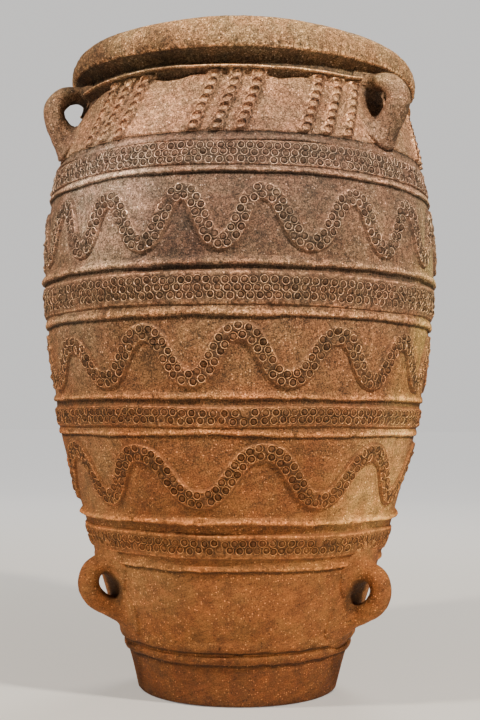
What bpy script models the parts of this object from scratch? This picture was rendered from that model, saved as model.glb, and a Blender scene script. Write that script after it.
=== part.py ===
"""A tall clay storage jar: one fired piece, hollow and open at the mouth, with ridges, stamped bands,
three wavy strips, slanted shoulder strips and two tiers of three handles.

Metres, +Z up. The origin is the centre of the underside. Azimuths are in degrees, measured from -Y
towards +X, so the azimuth 0 faces -Y.
"""

import bmesh
import bpy
import numpy as np

# Driving dimensions
HEIGHT = 1.130
WALL_THICKNESS = 0.024
BASE_THICKNESS = 0.040
LEAN = 0.0045
TILT = 0.0145
LEAN_FROM = 0.90
LEAN_TO = 1.03

COLUMNS = 36
INNER_COLUMNS = 20
COLUMNS_PER_WAVE = 8

# Outline of the plain wall, from the underside up to the collar, as height and radius
WALL = (
    (0.000, 0.1765),
    (0.072, 0.1965),
    (0.146, 0.2285),
    (0.235, 0.2555),
    (0.330, 0.2845),
    (0.448, 0.3180),
    (0.554, 0.3368),
    (0.655, 0.3490),
    (0.735, 0.3538),
    (0.824, 0.3495),
    (0.932, 0.3285),
    (1.038, 0.2988),
)

# Plain ridges: height of the crest, how far it stands out, half of its height
FOOT_RIDGE = (0.0900, 0.0040, 0.0070)
LOW_RIDGE = (0.2395, 0.0050, 0.0065)
SHARP_RIDGE = (0.3160, 0.0080, 0.0065)
STRIP_RIDGE_3 = (0.4590, 0.0035, 0.0065)
STRIP_RIDGE_2 = (0.5175, 0.0040, 0.0065)
BELLY_RIDGE = (0.6475, 0.0040, 0.0065)
WIDEST_RIDGE = (0.7255, 0.0066, 0.0070)
UPPER_RIDGE = (0.8705, 0.0045, 0.0065)

# Bands that carry the stamped rings: lower edge, upper edge, how far they stand out
BAND_4 = (0.2570, 0.2935, 0.0038)
BAND_3 = (0.4700, 0.4985, 0.0032)
BAND_2 = (0.6600, 0.7070, 0.0038)
BAND_1 = (0.8800, 0.9170, 0.0038)
BAND_EDGE = 0.0045

# Wavy strips: waves around the jar, height of the middle, amplitude, and the azimuths of the
# crests on the front with how much each is lower than the rest, which are evenly spread
WAVES = (
    {
        "count": 10,
        "middle": 0.3900,
        "amplitude": 0.0385,
        "crests": ((-62.0, 0.000), (-31.5, 0.003), (7.5, 0.000), (45.0, 0.002)),
    },
    {
        "count": 14,
        "middle": 0.5805,
        "amplitude": 0.0370,
        "crests": ((-54.0, 0.016), (-26.0, 0.001), (0.0, 0.000), (27.3, 0.005), (52.0, 0.007)),
    },
    {
        "count": 17,
        "middle": 0.7960,
        "amplitude": 0.0400,
        "crests": ((-57.0, 0.0), (-37.0, 0.004), (-15.0, 0.0), (5.5, 0.0), (31.3, 0.002), (52.0, 0.002)),
    },
)
WAVE_HALF_WIDTH = 0.0130
WAVE_FOOT = 0.0020
WAVE_PROUD = 0.0050
WAVE_ROUNDING = 0.045

# Slanted strips on the shoulder, in groups of three between the handles: each group's azimuth, and
# how far its strips' ends are turned from their middles
STRIP_GROUPS = ((-41.5, 3.2), (-4.4, 2.8), (27.6, 3.2))
STRIP_STEP = 6.7
STRIP_HEIGHTS = (0.9375, 0.9900, 1.0410)
STRIP_PROUD = 0.0055
STRIP_BURIED = 0.0070
STRIP_HALF_WIDTH = 0.0065
STRIP_FOOT = 0.0025

# The step at the shoulder's lower edge: height, and how far it is cut in
SHOULDER_EDGE = (0.9300, 0.0010)
# The collar at the shoulder's upper edge, and the neck above it: height, radius
COLLAR = (
    (1.0425, 0.3080),
    (1.0490, 0.3070),
    (1.0530, 0.2920),
    (1.0670, 0.2920),
)
# The rim from its lower edge round to the mouth: depth below the top, radius
RIM = (
    (0.0610, 0.3150),
    (0.0570, 0.3212),
    (0.0340, 0.3185),
    (0.0130, 0.3080),
    (0.0000, 0.2940),
    (0.0000, 0.2760),
    (0.0080, 0.2650),
)
MOUTH_RADIUS = 0.2630

# Handles: azimuths, then the middle line from root to root with the half sizes of the section,
# as radius, height, half thickness and half width
UPPER_HANDLES = (-72.0, 47.0, 168.0)
UPPER_HANDLE_LINE = (
    (0.2840, 1.0450, 0.0170, 0.0290),
    (0.3100, 1.0490, 0.0180, 0.0240),
    (0.3370, 1.0440, 0.0185, 0.0205),
    (0.3525, 1.0200, 0.0190, 0.0200),
    (0.3490, 0.9920, 0.0180, 0.0205),
    (0.3370, 0.9680, 0.0165, 0.0230),
    (0.3130, 0.9400, 0.0120, 0.0270),
)
LOWER_HANDLES = (-62.0, 57.0, 178.0)
LOWER_HANDLE_LINE = (
    (0.2380, 0.2270, 0.0170, 0.0290),
    (0.2640, 0.2310, 0.0180, 0.0245),
    (0.2820, 0.2200, 0.0185, 0.0210),
    (0.2880, 0.1990, 0.0185, 0.0205),
    (0.2790, 0.1790, 0.0185, 0.0210),
    (0.2560, 0.1620, 0.0180, 0.0240),
    (0.2110, 0.1385, 0.0165, 0.0290),
)
HANDLE_SIDES = 8

# Heights of the rings on the plain stretches between the ridges, outside and inside
FOOT_ROWS = (0.0, 0.036, 0.072)
LOW_BODY_ROWS = (0.134, 0.186)
SHOULDER_ROWS = (0.970, 1.008, 1.036)
INNER_ROWS = (1.035, 0.932, 0.720, 0.500, 0.300, 0.140)
# The hollow corner between the inner wall and the floor: height, and how far it reaches inwards
FLOOR_CORNER = (0.012, 0.020)
SHARP_ANGLE = 24.0

CLAY = (0.36, 0.23, 0.14, 1.0)


def through(points, at):
    """Columns of points read at the positions in at, on a smooth curve through the points.

    The first column is the position. Between two points the curve is a cubic whose slope at each
    point is that of the line between the point's neighbours.
    """
    points = np.asarray(points, float)
    x = points[:, 0]
    y = points[:, 1:]
    slope = np.gradient(y, x, axis=0)
    at = np.clip(np.atleast_1d(at), x[0], x[-1])
    i = np.clip(np.searchsorted(x, at, side="right") - 1, 0, len(x) - 2)
    gap = (x[i + 1] - x[i])[:, None]
    t = (at - x[i])[:, None] / gap
    start = y[i] * (1 + 2 * t) * (1 - t) ** 2 + slope[i] * gap * t * (1 - t) ** 2
    end = y[i + 1] * t**2 * (3 - 2 * t) + slope[i + 1] * gap * t**2 * (t - 1)
    return start + end


def wall_radius(height):
    """Radius of the plain wall at a height, without ridges or bands."""
    height = np.asarray(height, float)
    return through(WALL, height.ravel())[:, 0].reshape(height.shape)


def lean(points):
    """The points with the shoulder and rim moved a little to +X and tilted down on that side."""
    points = np.array(points, float)
    t = np.clip((points[..., 2] - LEAN_FROM) / (LEAN_TO - LEAN_FROM), 0, 1)
    share = t * t * (3 - 2 * t)
    points[..., 2] -= TILT * share * points[..., 0]
    points[..., 0] += LEAN * share
    return points


def around(azimuth, radius, height, sideways=0.0):
    """Points at azimuths in radians, radii and heights, and moved sideways, on the leaning jar."""
    azimuth, radius, height, sideways = np.broadcast_arrays(azimuth, radius, height, sideways)
    x = radius * np.sin(azimuth) + sideways * np.cos(azimuth)
    y = sideways * np.sin(azimuth) - radius * np.cos(azimuth)
    return lean(np.stack([x, y, height], axis=-1))


class Shell:
    """Rings of points joined by triangles, collected for one mesh."""

    def __init__(self):
        self.points = []
        self.faces = []

    def ring(self, azimuth, radius, height):
        """Adds a ring and returns its azimuths and point numbers."""
        azimuth = np.asarray(azimuth, float)
        new = around(azimuth, radius, height)
        first = len(self.points)
        self.points.extend(map(tuple, new))
        return azimuth, list(range(first, first + len(new)))

    def centre(self, height):
        self.points.append((0.0, 0.0, height))
        return len(self.points) - 1

    def join(self, low, high):
        """Joins two rings, of any numbers of columns, going round with whichever lags behind."""
        low_at, low_ids = low
        high_at, high_ids = high
        full = 2 * np.pi
        i = 0
        j = 0
        while i < len(low_ids) or j < len(high_ids):
            next_low = low_at[(i + 1) % len(low_ids)] + full * ((i + 1) // len(low_ids))
            next_high = high_at[(j + 1) % len(high_ids)] + full * ((j + 1) // len(high_ids))
            a = low_ids[i % len(low_ids)]
            b = high_ids[j % len(high_ids)]
            level = abs(next_low - next_high) < 1e-6 and i < len(low_ids) and j < len(high_ids)
            if level:
                c = low_ids[(i + 1) % len(low_ids)]
                d = high_ids[(j + 1) % len(high_ids)]
                self.faces.append((a, c, d, b))
                i += 1
                j += 1
            elif j >= len(high_ids) or (i < len(low_ids) and next_low < next_high):
                c = low_ids[(i + 1) % len(low_ids)]
                self.faces.append((a, c, b))
                i += 1
            else:
                d = high_ids[(j + 1) % len(high_ids)]
                self.faces.append((a, d, b))
                j += 1

    def fan(self, ring, centre):
        ids = ring[1]
        for k, a in enumerate(ids):
            self.faces.append((centre, ids[(k + 1) % len(ids)], a))


def even(columns):
    return np.arange(columns) * 2 * np.pi / columns


def plain(heights, inwards=0.0):
    """Rows on the plain wall or a little inside it, as height and radius."""
    return [(height, float(wall_radius(height)) - inwards) for height in heights]


def ridge(height, proud, half):
    """Three rows across a plain ridge, as height and radius."""
    heights = np.array([height - half, height, height + half])
    return list(zip(heights, wall_radius(heights) + np.array([0.0, proud, 0.0])))


def band(low, high, proud):
    """Four rows across a raised band, as height and radius."""
    heights = np.array([low - BAND_EDGE, low, high, high + BAND_EDGE])
    return list(zip(heights, wall_radius(heights) + np.array([0.0, proud, proud, 0.0])))


def wave_shape(phase):
    """A wave between -1 and 1 with rounded crests: a sine and a little of its third harmonic."""
    return (np.sin(phase) + WAVE_ROUNDING * np.sin(3 * phase)) / (1 - WAVE_ROUNDING)


def wave_line(wave):
    """The wavy strip's middle line: azimuths in order, heights, and the phase at each azimuth.

    The phase grows by one turn from each crest to the next. A lowered crest comes down by its own
    amount at its top and by nothing in the troughs beside it.
    """
    front = np.array(wave["crests"])
    rest = wave["count"] - len(front)
    gap = np.linspace(front[-1, 0], front[0, 0] + 360.0, rest + 2)[1:-1]
    crests = np.radians(np.concatenate([front[:, 0], gap]))
    lowered = np.concatenate([front[:, 1], np.zeros(rest)])
    crests = np.concatenate([crests - 2 * np.pi, crests, crests + 2 * np.pi])
    turn = np.linspace(-np.pi, 3 * np.pi, 8001)
    cycle = np.interp(turn, crests, np.arange(len(crests)) - wave["count"])
    phase = 2 * np.pi * cycle + np.pi / 2
    lower = np.interp(turn, crests, np.tile(lowered, 3)) * (1 + np.sin(phase)) / 2
    height = wave["middle"] + wave["amplitude"] * wave_shape(phase) - lower
    return turn, height, cycle


def wave_edge(wave, azimuth, offset):
    """Height of the line that runs at an offset beside a wavy strip's middle line, at azimuths.

    The middle line is drawn flat, at the wall's radius, moved sideways along its normal by the
    offset, and read again at the azimuths.
    """
    turn, up, _ = wave_line(wave)
    radius = float(wall_radius(wave["middle"]))
    along = turn * radius
    slope = np.gradient(up, along)
    size = np.sqrt(1 + slope**2)
    moved = (along - offset * slope / size) / radius
    return np.interp(azimuth, moved, up + offset / size)


def wave_columns(wave):
    """Azimuths of a wavy strip's columns: the same number of columns from each crest to the next."""
    turn, _, cycle = wave_line(wave)
    columns = wave["count"] * COLUMNS_PER_WAVE
    azimuth = np.interp(np.arange(columns) / COLUMNS_PER_WAVE, cycle, turn)
    return np.sort(azimuth % (2 * np.pi))


def wave_rows(shell, below, wave, above):
    """Rings from the ridge below a wavy strip to the ridge above it; returns the last one."""
    azimuth = wave_columns(wave)
    outer = WAVE_HALF_WIDTH + WAVE_FOOT
    rows = ((-outer, 0.0), (-WAVE_HALF_WIDTH, WAVE_PROUD), (WAVE_HALF_WIDTH, WAVE_PROUD), (outer, 0.0))
    last = shell.ring(azimuth, below[1], below[0])
    first = last
    for offset, proud in rows:
        height = wave_edge(wave, azimuth, offset)
        new = shell.ring(azimuth, wall_radius(height) + proud, height)
        shell.join(last, new)
        last = new
    new = shell.ring(azimuth, above[1], above[0])
    shell.join(last, new)
    return first, new


def outer_stages():
    """The outside from the underside up: lists of plain rows, with a wavy strip between lists."""
    foot = plain(FOOT_ROWS)
    low_body = plain(LOW_BODY_ROWS)
    shoulder = plain(SHOULDER_EDGE[:1], SHOULDER_EDGE[1]) + plain(SHOULDER_ROWS) + list(COLLAR)
    rim = [(HEIGHT - depth, radius) for depth, radius in RIM]
    first = foot + ridge(*FOOT_RIDGE) + low_body + ridge(*LOW_RIDGE) + band(*BAND_4) + ridge(*SHARP_RIDGE)
    second = ridge(*STRIP_RIDGE_3) + band(*BAND_3)[1:] + ridge(*STRIP_RIDGE_2)
    third = ridge(*BELLY_RIDGE) + band(*BAND_2)[1:] + ridge(*WIDEST_RIDGE)
    fourth = ridge(*UPPER_RIDGE)[:2] + band(*BAND_1) + shoulder + rim
    return first, second, third, fourth


def inner_rows():
    """The inside from the mouth down to the floor, as height and radius."""
    rows = [(HEIGHT - RIM[0][0], MOUTH_RADIUS)]
    rows += plain(INNER_ROWS, WALL_THICKNESS)
    radius = float(wall_radius(BASE_THICKNESS)) - WALL_THICKNESS
    rows.append((BASE_THICKNESS + FLOOR_CORNER[0], radius))
    rows.append((BASE_THICKNESS, radius - FLOOR_CORNER[1]))
    return rows


def body_mesh():
    """The jar without handles and slanted strips, as one closed shell."""
    shell = Shell()
    last = None
    stages = outer_stages()
    for number, rows in enumerate(stages):
        start = 1 if number else 0
        stop = len(rows) if number == len(stages) - 1 else len(rows) - 1
        for height, radius in rows[start:stop]:
            new = shell.ring(even(COLUMNS), radius, height)
            if last is None:
                shell.fan(new, shell.centre(0.0))
            else:
                shell.join(last, new)
            last = new
        if number < len(stages) - 1:
            first, top = wave_rows(shell, rows[-1], WAVES[number], stages[number + 1][0])
            shell.join(last, first)
            last = top
    for height, radius in inner_rows():
        new = shell.ring(even(INNER_COLUMNS), radius, height)
        shell.join(last, new)
        last = new
    centre = shell.centre(BASE_THICKNESS)
    ids = last[1]
    shell.faces.extend((ids[k], ids[(k + 1) % len(ids)], centre) for k in range(len(ids)))
    mesh = bpy.data.meshes.new("storage_jar")
    mesh.from_pydata(shell.points, [], shell.faces)
    return mesh


def tube_mesh(name, sections):
    """A closed tube through sections, an array of rings of points from one end to the other."""
    count, sides = sections.shape[:2]
    faces = []
    for i in range(count - 1):
        for j in range(sides):
            k = (j + 1) % sides
            faces.append((i * sides + j, i * sides + k, (i + 1) * sides + k, (i + 1) * sides + j))
    faces.append(tuple(range(sides - 1, -1, -1)))
    faces.append(tuple((count - 1) * sides + j for j in range(sides)))
    mesh = bpy.data.meshes.new(name)
    mesh.from_pydata(list(map(tuple, sections.reshape(-1, 3))), [], faces)
    return mesh


def handle_mesh(name, azimuth, line):
    """A thick loop: an eight-sided section carried along the middle line, square to it."""
    line = np.array(line)
    middle = line[:, :2]
    along = np.gradient(middle, axis=0)
    along /= np.linalg.norm(along, axis=1)[:, None]
    outward = np.stack([-along[:, 1], along[:, 0]], axis=1)
    turn = (np.arange(HANDLE_SIDES) + 0.5) * 2 * np.pi / HANDLE_SIDES
    reach = 1 / np.cos(np.pi / HANDLE_SIDES) ** 0.5
    across = np.cos(turn) * line[:, 2:3] * reach
    sideways = np.sin(turn) * line[:, 3:4] * reach
    radius = middle[:, 0:1] + outward[:, 0:1] * across
    height = middle[:, 1:2] + outward[:, 1:2] * across
    points = around(np.radians(azimuth), radius, height, sideways)
    return tube_mesh(name, points)


def strip_mesh(name, azimuth, turned):
    """A slanted strip on the shoulder: a low trapezoid carried up the wall, its foot in the clay."""
    height = np.array(STRIP_HEIGHTS)
    share = (height - height[0]) / (height[-1] - height[0])
    middle = np.radians(azimuth + turned * (2 * share - 1))
    wall = wall_radius(height)
    half = np.array([1, 1, -1, -1]) * STRIP_HALF_WIDTH + np.array([1, 0, 0, -1]) * STRIP_FOOT
    rise = np.array([-STRIP_BURIED, STRIP_PROUD, STRIP_PROUD, -STRIP_BURIED])
    points = around(
        middle[:, None] + half[None, :] / wall[:, None],
        wall[:, None] + rise[None, :],
        height[:, None],
    )
    return tube_mesh(name, points)


def strip_places():
    """Each strip's azimuth, and how far its ends are turned from its middle."""
    for third in range(3):
        for group, turned in STRIP_GROUPS:
            for k in (-1, 0, 1):
                yield group + k * STRIP_STEP + third * 120.0, turned


def face_outwards(mesh):
    edit = bmesh.new()
    edit.from_mesh(mesh)
    bmesh.ops.recalc_face_normals(edit, faces=edit.faces)
    edit.to_mesh(mesh)
    edit.free()


def clay_material():
    material = bpy.data.materials.new("fired_clay")
    material.use_nodes = True
    shader = material.node_tree.nodes["Principled BSDF"]
    shader.inputs["Base Color"].default_value = CLAY
    shader.inputs["Roughness"].default_value = 0.85
    shader.inputs["Metallic"].default_value = 0.0
    material.diffuse_color = CLAY
    return material


def add_to_scene(mesh, hidden=False):
    face_outwards(mesh)
    thing = bpy.data.objects.new(mesh.name, mesh)
    bpy.context.scene.collection.objects.link(thing)
    if hidden:
        thing.hide_render = True
        thing.display_type = "WIRE"
    return thing


def join_to(jar, things, name):
    """Keeps the things as hidden shapes in a collection, and joins them all to the jar."""
    group = bpy.data.collections.new(name)
    bpy.context.scene.collection.children.link(group)
    for thing in things:
        bpy.context.scene.collection.objects.unlink(thing)
        group.objects.link(thing)
    union = jar.modifiers.new(name, "BOOLEAN")
    union.operation = "UNION"
    union.solver = "EXACT"
    union.operand_type = "COLLECTION"
    union.collection = group


def main():
    for thing in list(bpy.data.objects):
        bpy.data.objects.remove(thing, do_unlink=True)
    jar = add_to_scene(body_mesh())
    jar.data.materials.append(clay_material())
    handles = []
    for tier, azimuths, line in (
        ("upper", UPPER_HANDLES, UPPER_HANDLE_LINE),
        ("lower", LOWER_HANDLES, LOWER_HANDLE_LINE),
    ):
        for number, azimuth in enumerate(azimuths, 1):
            mesh = handle_mesh(f"{tier}_handle_{number}", azimuth, line)
            handles.append(add_to_scene(mesh, hidden=True))
    join_to(jar, handles, "handles")
    strips = []
    for number, (azimuth, turned) in enumerate(strip_places(), 1):
        mesh = strip_mesh(f"strip_{number}", azimuth, turned)
        strips.append(add_to_scene(mesh, hidden=True))
    join_to(jar, strips, "slanted_strips")
    jar.data.shade_smooth()
    jar.data.set_sharp_from_angle(angle=np.radians(SHARP_ANGLE))


main()
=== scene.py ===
from collections import namedtuple

import bpy
import numpy as np
from mathutils import Matrix


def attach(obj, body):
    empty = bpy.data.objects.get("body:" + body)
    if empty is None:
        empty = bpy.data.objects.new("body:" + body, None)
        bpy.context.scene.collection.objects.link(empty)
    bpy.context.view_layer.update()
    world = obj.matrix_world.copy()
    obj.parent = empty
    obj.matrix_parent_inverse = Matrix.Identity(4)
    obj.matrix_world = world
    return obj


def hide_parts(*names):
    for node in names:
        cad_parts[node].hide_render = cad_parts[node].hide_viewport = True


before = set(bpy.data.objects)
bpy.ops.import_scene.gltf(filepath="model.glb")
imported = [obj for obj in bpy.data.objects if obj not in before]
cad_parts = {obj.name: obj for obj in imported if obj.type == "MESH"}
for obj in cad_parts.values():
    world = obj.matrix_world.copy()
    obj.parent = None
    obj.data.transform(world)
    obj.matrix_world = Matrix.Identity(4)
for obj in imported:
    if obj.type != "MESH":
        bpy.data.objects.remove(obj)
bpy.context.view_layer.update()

bl_info = {
    "name": "Clay storage jar",
    "version": (1, 0, 0),
    "blender": (4, 5, 0),
    "location": "3D View > Sidebar > Jar",
    "description": "A tall clay storage jar with stamped bands, wavy strips and loop handles",
    "category": "Add Mesh",
}

# Azimuths run from -Y towards +X, so azimuth 0 is the front. A shape on the wall is drawn flat
# first: x is the azimuth times a radius, z is the height. Relief is -1 in a hollow to 1 on a
# crest: the clay's colour reads it, darkening hollows with dust and painted shade and
# lightening crests with wear and painted highlights. Sizes are in metres, and azimuths in
# tables are in degrees.

TAU = 2 * np.pi
HEIGHT = 1.130
WALL_THICKNESS = 0.024
BASE_THICKNESS = 0.040
LEAN = 0.0045
TILT = 0.0145
LEAN_FROM = 0.90
LEAN_TO = 1.03

# Plain wall: height, radius
WALL = (
    (0.000, 0.1765),
    (0.072, 0.1965),
    (0.146, 0.2285),
    (0.235, 0.2555),
    (0.330, 0.2845),
    (0.448, 0.3180),
    (0.554, 0.3368),
    (0.655, 0.3490),
    (0.735, 0.3538),
    (0.824, 0.3495),
    (0.932, 0.3285),
    (1.038, 0.2988),
)

# Rounded edge of the underside and what lies inside it: radius, height
UNDERSIDE = (
    (0.0600, 0.0),
    (0.1300, 0.0),
    (WALL[0][1] - 0.0060, 0.0),
    (WALL[0][1] - 0.0012, 0.0012),
)
WALL_FROM = 0.0045

# A ridge: plain rows under it and their relief, which is painted shade under the ridge, height,
# slope towards +X, how far it stands out, half height, how fast its top falls off, how pale its
# crest is, worn and painted as a highlight, how dark the dirt and painted shade under it is, and
# the number that its wobble is drawn from
Ridge = namedtuple("Ridge", "rows_below relief_below height slope proud half power pale soiled seed")
RIDGES = {
    "foot": Ridge(12, 0.0, 0.0820, 0.000, 0.0048, 0.0075, 0.5, 0.3, 1.0, 2),
    "ledge": Ridge(0, 0.0, 0.1060, 0.000, 0.0044, 0.0095, 1.3, 0.1, 1.0, 2),
    "low": Ridge(20, 0.0, 0.2395, 0.000, 0.0036, 0.0052, 0.9, 0.7, 0.8, 21),
    "sharp": Ridge(4, -0.15, 0.3165, -0.004, 0.0080, 0.0070, 1.1, 1.0, 0.45, 31),
    "third": Ridge(22, 0.0, 0.4590, 0.000, 0.0038, 0.0062, 0.9, 1.0, 0.8, 41),
    "second": Ridge(4, -0.6, 0.5175, 0.000, 0.0042, 0.0065, 0.9, 1.0, 0.8, 51),
    "belly": Ridge(20, 0.0, 0.6485, 0.001, 0.0050, 0.0085, 0.9, 1.0, 1.0, 61),
    "widest": Ridge(4, -0.8, 0.7260, 0.002, 0.0066, 0.0080, 0.9, 1.0, 1.0, 71),
    "upper": Ridge(22, 0.0, 0.8725, -0.006, 0.0054, 0.0065, 0.9, 1.0, 1.0, 81),
    "brow": Ridge(3, -0.8, 0.9222, -0.003, 0.0046, 0.0042, 0.8, 0.0, 1.0, 91),
}
# Rows over a ridge: distance from its middle in half heights, relief, which is painted shade
# under the ridge and a painted highlight near its lower edge
RIDGE_ROWS = (
    (-1.25, -1.0),
    (-1.00, -1.0),
    (-0.88, 0.3),
    (-0.50, 1.3),
    (-0.10, 1.1),
    (0.30, 0.5),
    (0.68, 0.1),
    (1.00, 0.0),
    (1.25, -0.1),
)
RIDGE_STEEPNESS = 0.35

# Stamped bands: lower edge, upper edge, slope of each, how far it stands out, rows of stamps,
# share of worn stamps, and the number that its unevenness is drawn from
Band = namedtuple("Band", "low high low_slope high_slope proud rows worn number")
BANDS = {
    "band_4": Band(0.2570, 0.2935, 0.000, -0.004, 0.0040, 2, 0.15, 3),
    "band_3": Band(0.4690, 0.4990, 0.000, 0.000, 0.0034, 2, 0.05, 2),
    "band_2": Band(0.6590, 0.7080, 0.001, 0.002, 0.0040, 3, 0.03, 1),
    "band_1": Band(0.8795, 0.9180, -0.006, -0.003, 0.0040, 3, 0.03, 0),
}

# Wavy strips: waves around the jar, middle height, amplitude, the number that its unevenness is
# drawn from, and the crests on the front as azimuth and how much lower each is than the others,
# which are spread evenly
Wave = namedtuple("Wave", "count middle amplitude number crests")
WAVES = {
    "wave_3": Wave(10, 0.3900, 0.0385, 2, ((-62.0, 0.0), (-31.5, 0.003), (7.5, 0.0), (45.0, 0.002))),
    "wave_2": Wave(
        14, 0.5805, 0.0370, 1, ((-54.0, 0.016), (-26.0, 0.001), (0.0, 0.0), (27.3, 0.005), (52.0, 0.007))
    ),
    "wave_1": Wave(
        17,
        0.7960,
        0.0400,
        0,
        ((-57.0, 0.0), (-37.0, 0.004), (-15.0, 0.0), (5.5, 0.0), (31.3, 0.002), (52.0, 0.002)),
    ),
}
WAVE_ROUNDING = 0.058
WAVE_HALF_WIDTH = 0.0129
WAVE_PROUD = 0.0048
WAVE_ROW = 0.0064
WAVE_SPREAD = 1.06
WAVE_WORN = 0.03
WAVE_STAMP_SIZE = 1.06
WAVE_POINTS = 16001

# A stamped ring across its radius, as shares of its outer radius and of its depth: a low domed
# boss, a groove, a raised ring and a shallower groove round it
STAMP_PROFILE = (
    (0.00, -0.02),
    (0.35, -0.08),
    (0.52, -0.28),
    (0.62, -0.92),
    (0.70, -0.92),
    (0.80, -0.10),
    (0.86, 0.16),
    (0.91, 0.10),
    (1.00, -0.42),
    (1.06, -0.42),
    (1.16, -0.08),
    (1.30, 0.00),
    (9.00, 0.00),
)
# Shares of the radius at which a stamped ring has points
RING_LEVELS = (0.87, 0.68, 0.52)
# How much stamps differ: share of their size, slant, and the depths of plain and of worn ones
STAMP_SPREAD = 0.04
STAMP_SLANT = 0.16
STAMP_STRENGTH = (0.62, 1.0)
WORN_STRENGTH = (0.12, 0.45)
# The clay between two stamps: share of the profile's height, and how rough it is
WEB_SHARE = 0.8
WEB_ROUGHNESS = 0.12
# Smeared edge of a stamped strip: distance outwards, share of its height, relief, which darkens
# its foot with dust and painted shade
FILLET = ((0.0009, 0.58, 0.1), (0.0022, 0.20, -0.3), (0.0042, 0.03, -0.45), (0.0055, -0.40, -0.4))

# Slanted shoulder strips: group azimuth, how far the ends are turned from the middle
STRIP_GROUPS = (
    (-41.5, 3.2),
    (-4.4, 2.8),
    (27.6, 3.2),
    (78.5, 3.2),
    (115.6, 2.8),
    (147.6, 3.2),
    (193.0, 3.2),
    (220.0, 2.8),
    (248.5, 3.2),
)
FRONT_STRIPS = 9
STRIP_STEP = 6.7
STRIP_FROM = 0.9385
STRIP_TO = 1.0410
STRIP_HALF_WIDTH = 0.0086
STRIP_PROUD = 0.0074
STRIP_CUPS = 7
CUP_RADIUS = 0.0080
CUP_DEPTH = 0.0056
# Rings inside a pressed cup: share of its radius, share of its depth, relief, which darkens the
# cup's inside with dust and painted shade
CUP_LEVELS = ((1.0, 0.06, 0.4), (0.88, -0.40, 0.0), (0.62, -0.86, -0.3), (0.30, -1.0, -0.2))
# Boundary points of a cup's cell: steps along and across the strip, in half cells
CUP_ALONG = (-1, -1, -1, -0.5, 0, 0.5, 1, 1, 1, 0.5, 0, -0.5)
CUP_ACROSS = (-1, 0, 1, 1, 1, 1, 1, 0, -1, -1, -1, -1)
# Smeared foot of a slanted strip: distance outwards, share of its height, relief left and right,
# the left side lighter as a painted highlight and the right darker as a painted shadow
STRIP_FOOT = (
    (0.0012, 0.42, 0.5, -0.6),
    (0.0034, 0.16, 0.3, -0.7),
    (0.0060, 0.03, 0.1, -0.3),
    (0.0072, -0.50, 0.0, 0.0),
)

# Hollows pressed into the wall behind the handles: azimuth, height, reach round the jar in
# radians, reach in height, depth
HOLLOWS = (
    (-77.0, 1.0140, 0.200, 0.0230, 0.0130),
    (46.0, 1.0080, 0.110, 0.0230, 0.0090),
    (168.0, 1.0080, 0.120, 0.0210, 0.0080),
    (-62.0, 0.1880, 0.130, 0.0200, 0.0070),
    (57.0, 0.1790, 0.130, 0.0200, 0.0070),
    (178.0, 0.1850, 0.130, 0.0200, 0.0055),
)
# How deep a hollow is where its painted shade is full, and how dark that painted shade is
HOLLOW_SHADE_DEPTH = 0.0055
HOLLOW_SHADE_RELIEF = 1.1

# The shoulder's panel begins with a torn edge and ends at the groove under the collar. Both
# steps: distance above the edge, how far it stands out, relief, which paints shade below the torn
# edge and in the groove and a highlight on the panel's edges
SHOULDER_EDGE = 0.9355
SHOULDER_SLOPE = -0.001
PANEL_PROUD = 0.0014
PANEL_ROWS = 15
SHOULDER_STEP = (
    (-0.0034, 0.0, -0.7),
    (-0.0004, -0.0006, -1.0),
    (0.0008, PANEL_PROUD, 0.5),
    (0.0040, PANEL_PROUD, 0.0),
)
GROOVE_STEP = ((0.0, PANEL_PROUD, 0.5), (0.0012, -0.0015, -0.9), (0.0030, -0.0055, -1.0))
# The groove's lower edge, how much higher it is at the strips, and how much lower behind the
# first upper handle, with the reach of that in radians
GROOVE_LOW = 1.0265
GROOVE_NARROWING = 0.0065
GROOVE_DROP = 0.0300
GROOVE_DROP_REACH = 0.22

# Collar and neck: height, radius, relief, and how much of the rise beside the second upper
# handle the row follows. The relief paints shade under the flange and on the neck, and a
# highlight on the flange's top.
COLLAR = (
    (1.0395, 0.2958, -1.0, 1.0),
    (1.0412, 0.2975, -1.0, 1.0),
    (1.0424, 0.3040, -1.0, 1.0),
    (1.0433, 0.3086, 0.0, 1.0),
    (1.0446, 0.3104, 1.0, 1.0),
    (1.0462, 0.3100, 1.0, 1.0),
    (1.0476, 0.3066, 0.8, 1.0),
    (1.0490, 0.3000, -0.2, 1.0),
    (1.0520, 0.2945, -1.0, 0.8),
    (1.0580, 0.2922, -1.0, 0.4),
    (1.0640, 0.2920, -1.0, 0.0),
)
# The rise: height, azimuth and reach in radians
COLLAR_RISE = (0.0130, 0.80, 0.12)
# Where the collar dies away into the upper handles' roots: azimuth, reach in radians
COLLAR_GAPS = ((-80.0, 0.270), (47.0, 0.135), (168.0, 0.135))
COLLAR_FADE = 0.065

# Rim from its lower edge to the mouth: depth below the top, radius
RIM = (
    (0.0640, 0.2940),
    (0.0590, 0.2975),
    (0.0545, 0.3050),
    (0.0515, 0.3115),
    (0.0490, 0.3150),
    (0.0450, 0.3164),
    (0.0300, 0.3166),
    (0.0170, 0.3120),
    (0.0080, 0.3040),
    (0.0025, 0.2960),
    (0.0000, 0.2880),
    (0.0000, 0.2780),
    (0.0030, 0.2690),
    (0.0100, 0.2648),
    (0.0300, 0.2635),
    (0.0610, 0.2630),
)
# Points of the rim's outline: where its underside ends, its lower corner, where its face begins,
# its upper corner and where its top begins
RIM_UNDER = 3
RIM_CORNER = 4
RIM_FACE = 5
RIM_SHOULDER = 7
RIM_TOP = 10
RIM_CHIP = 0.0030
# How much lower the rim's edge hangs at the front, and the reach of that in radians
RIM_DROOP = 0.0066
RIM_DROOP_REACH = 0.62

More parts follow.
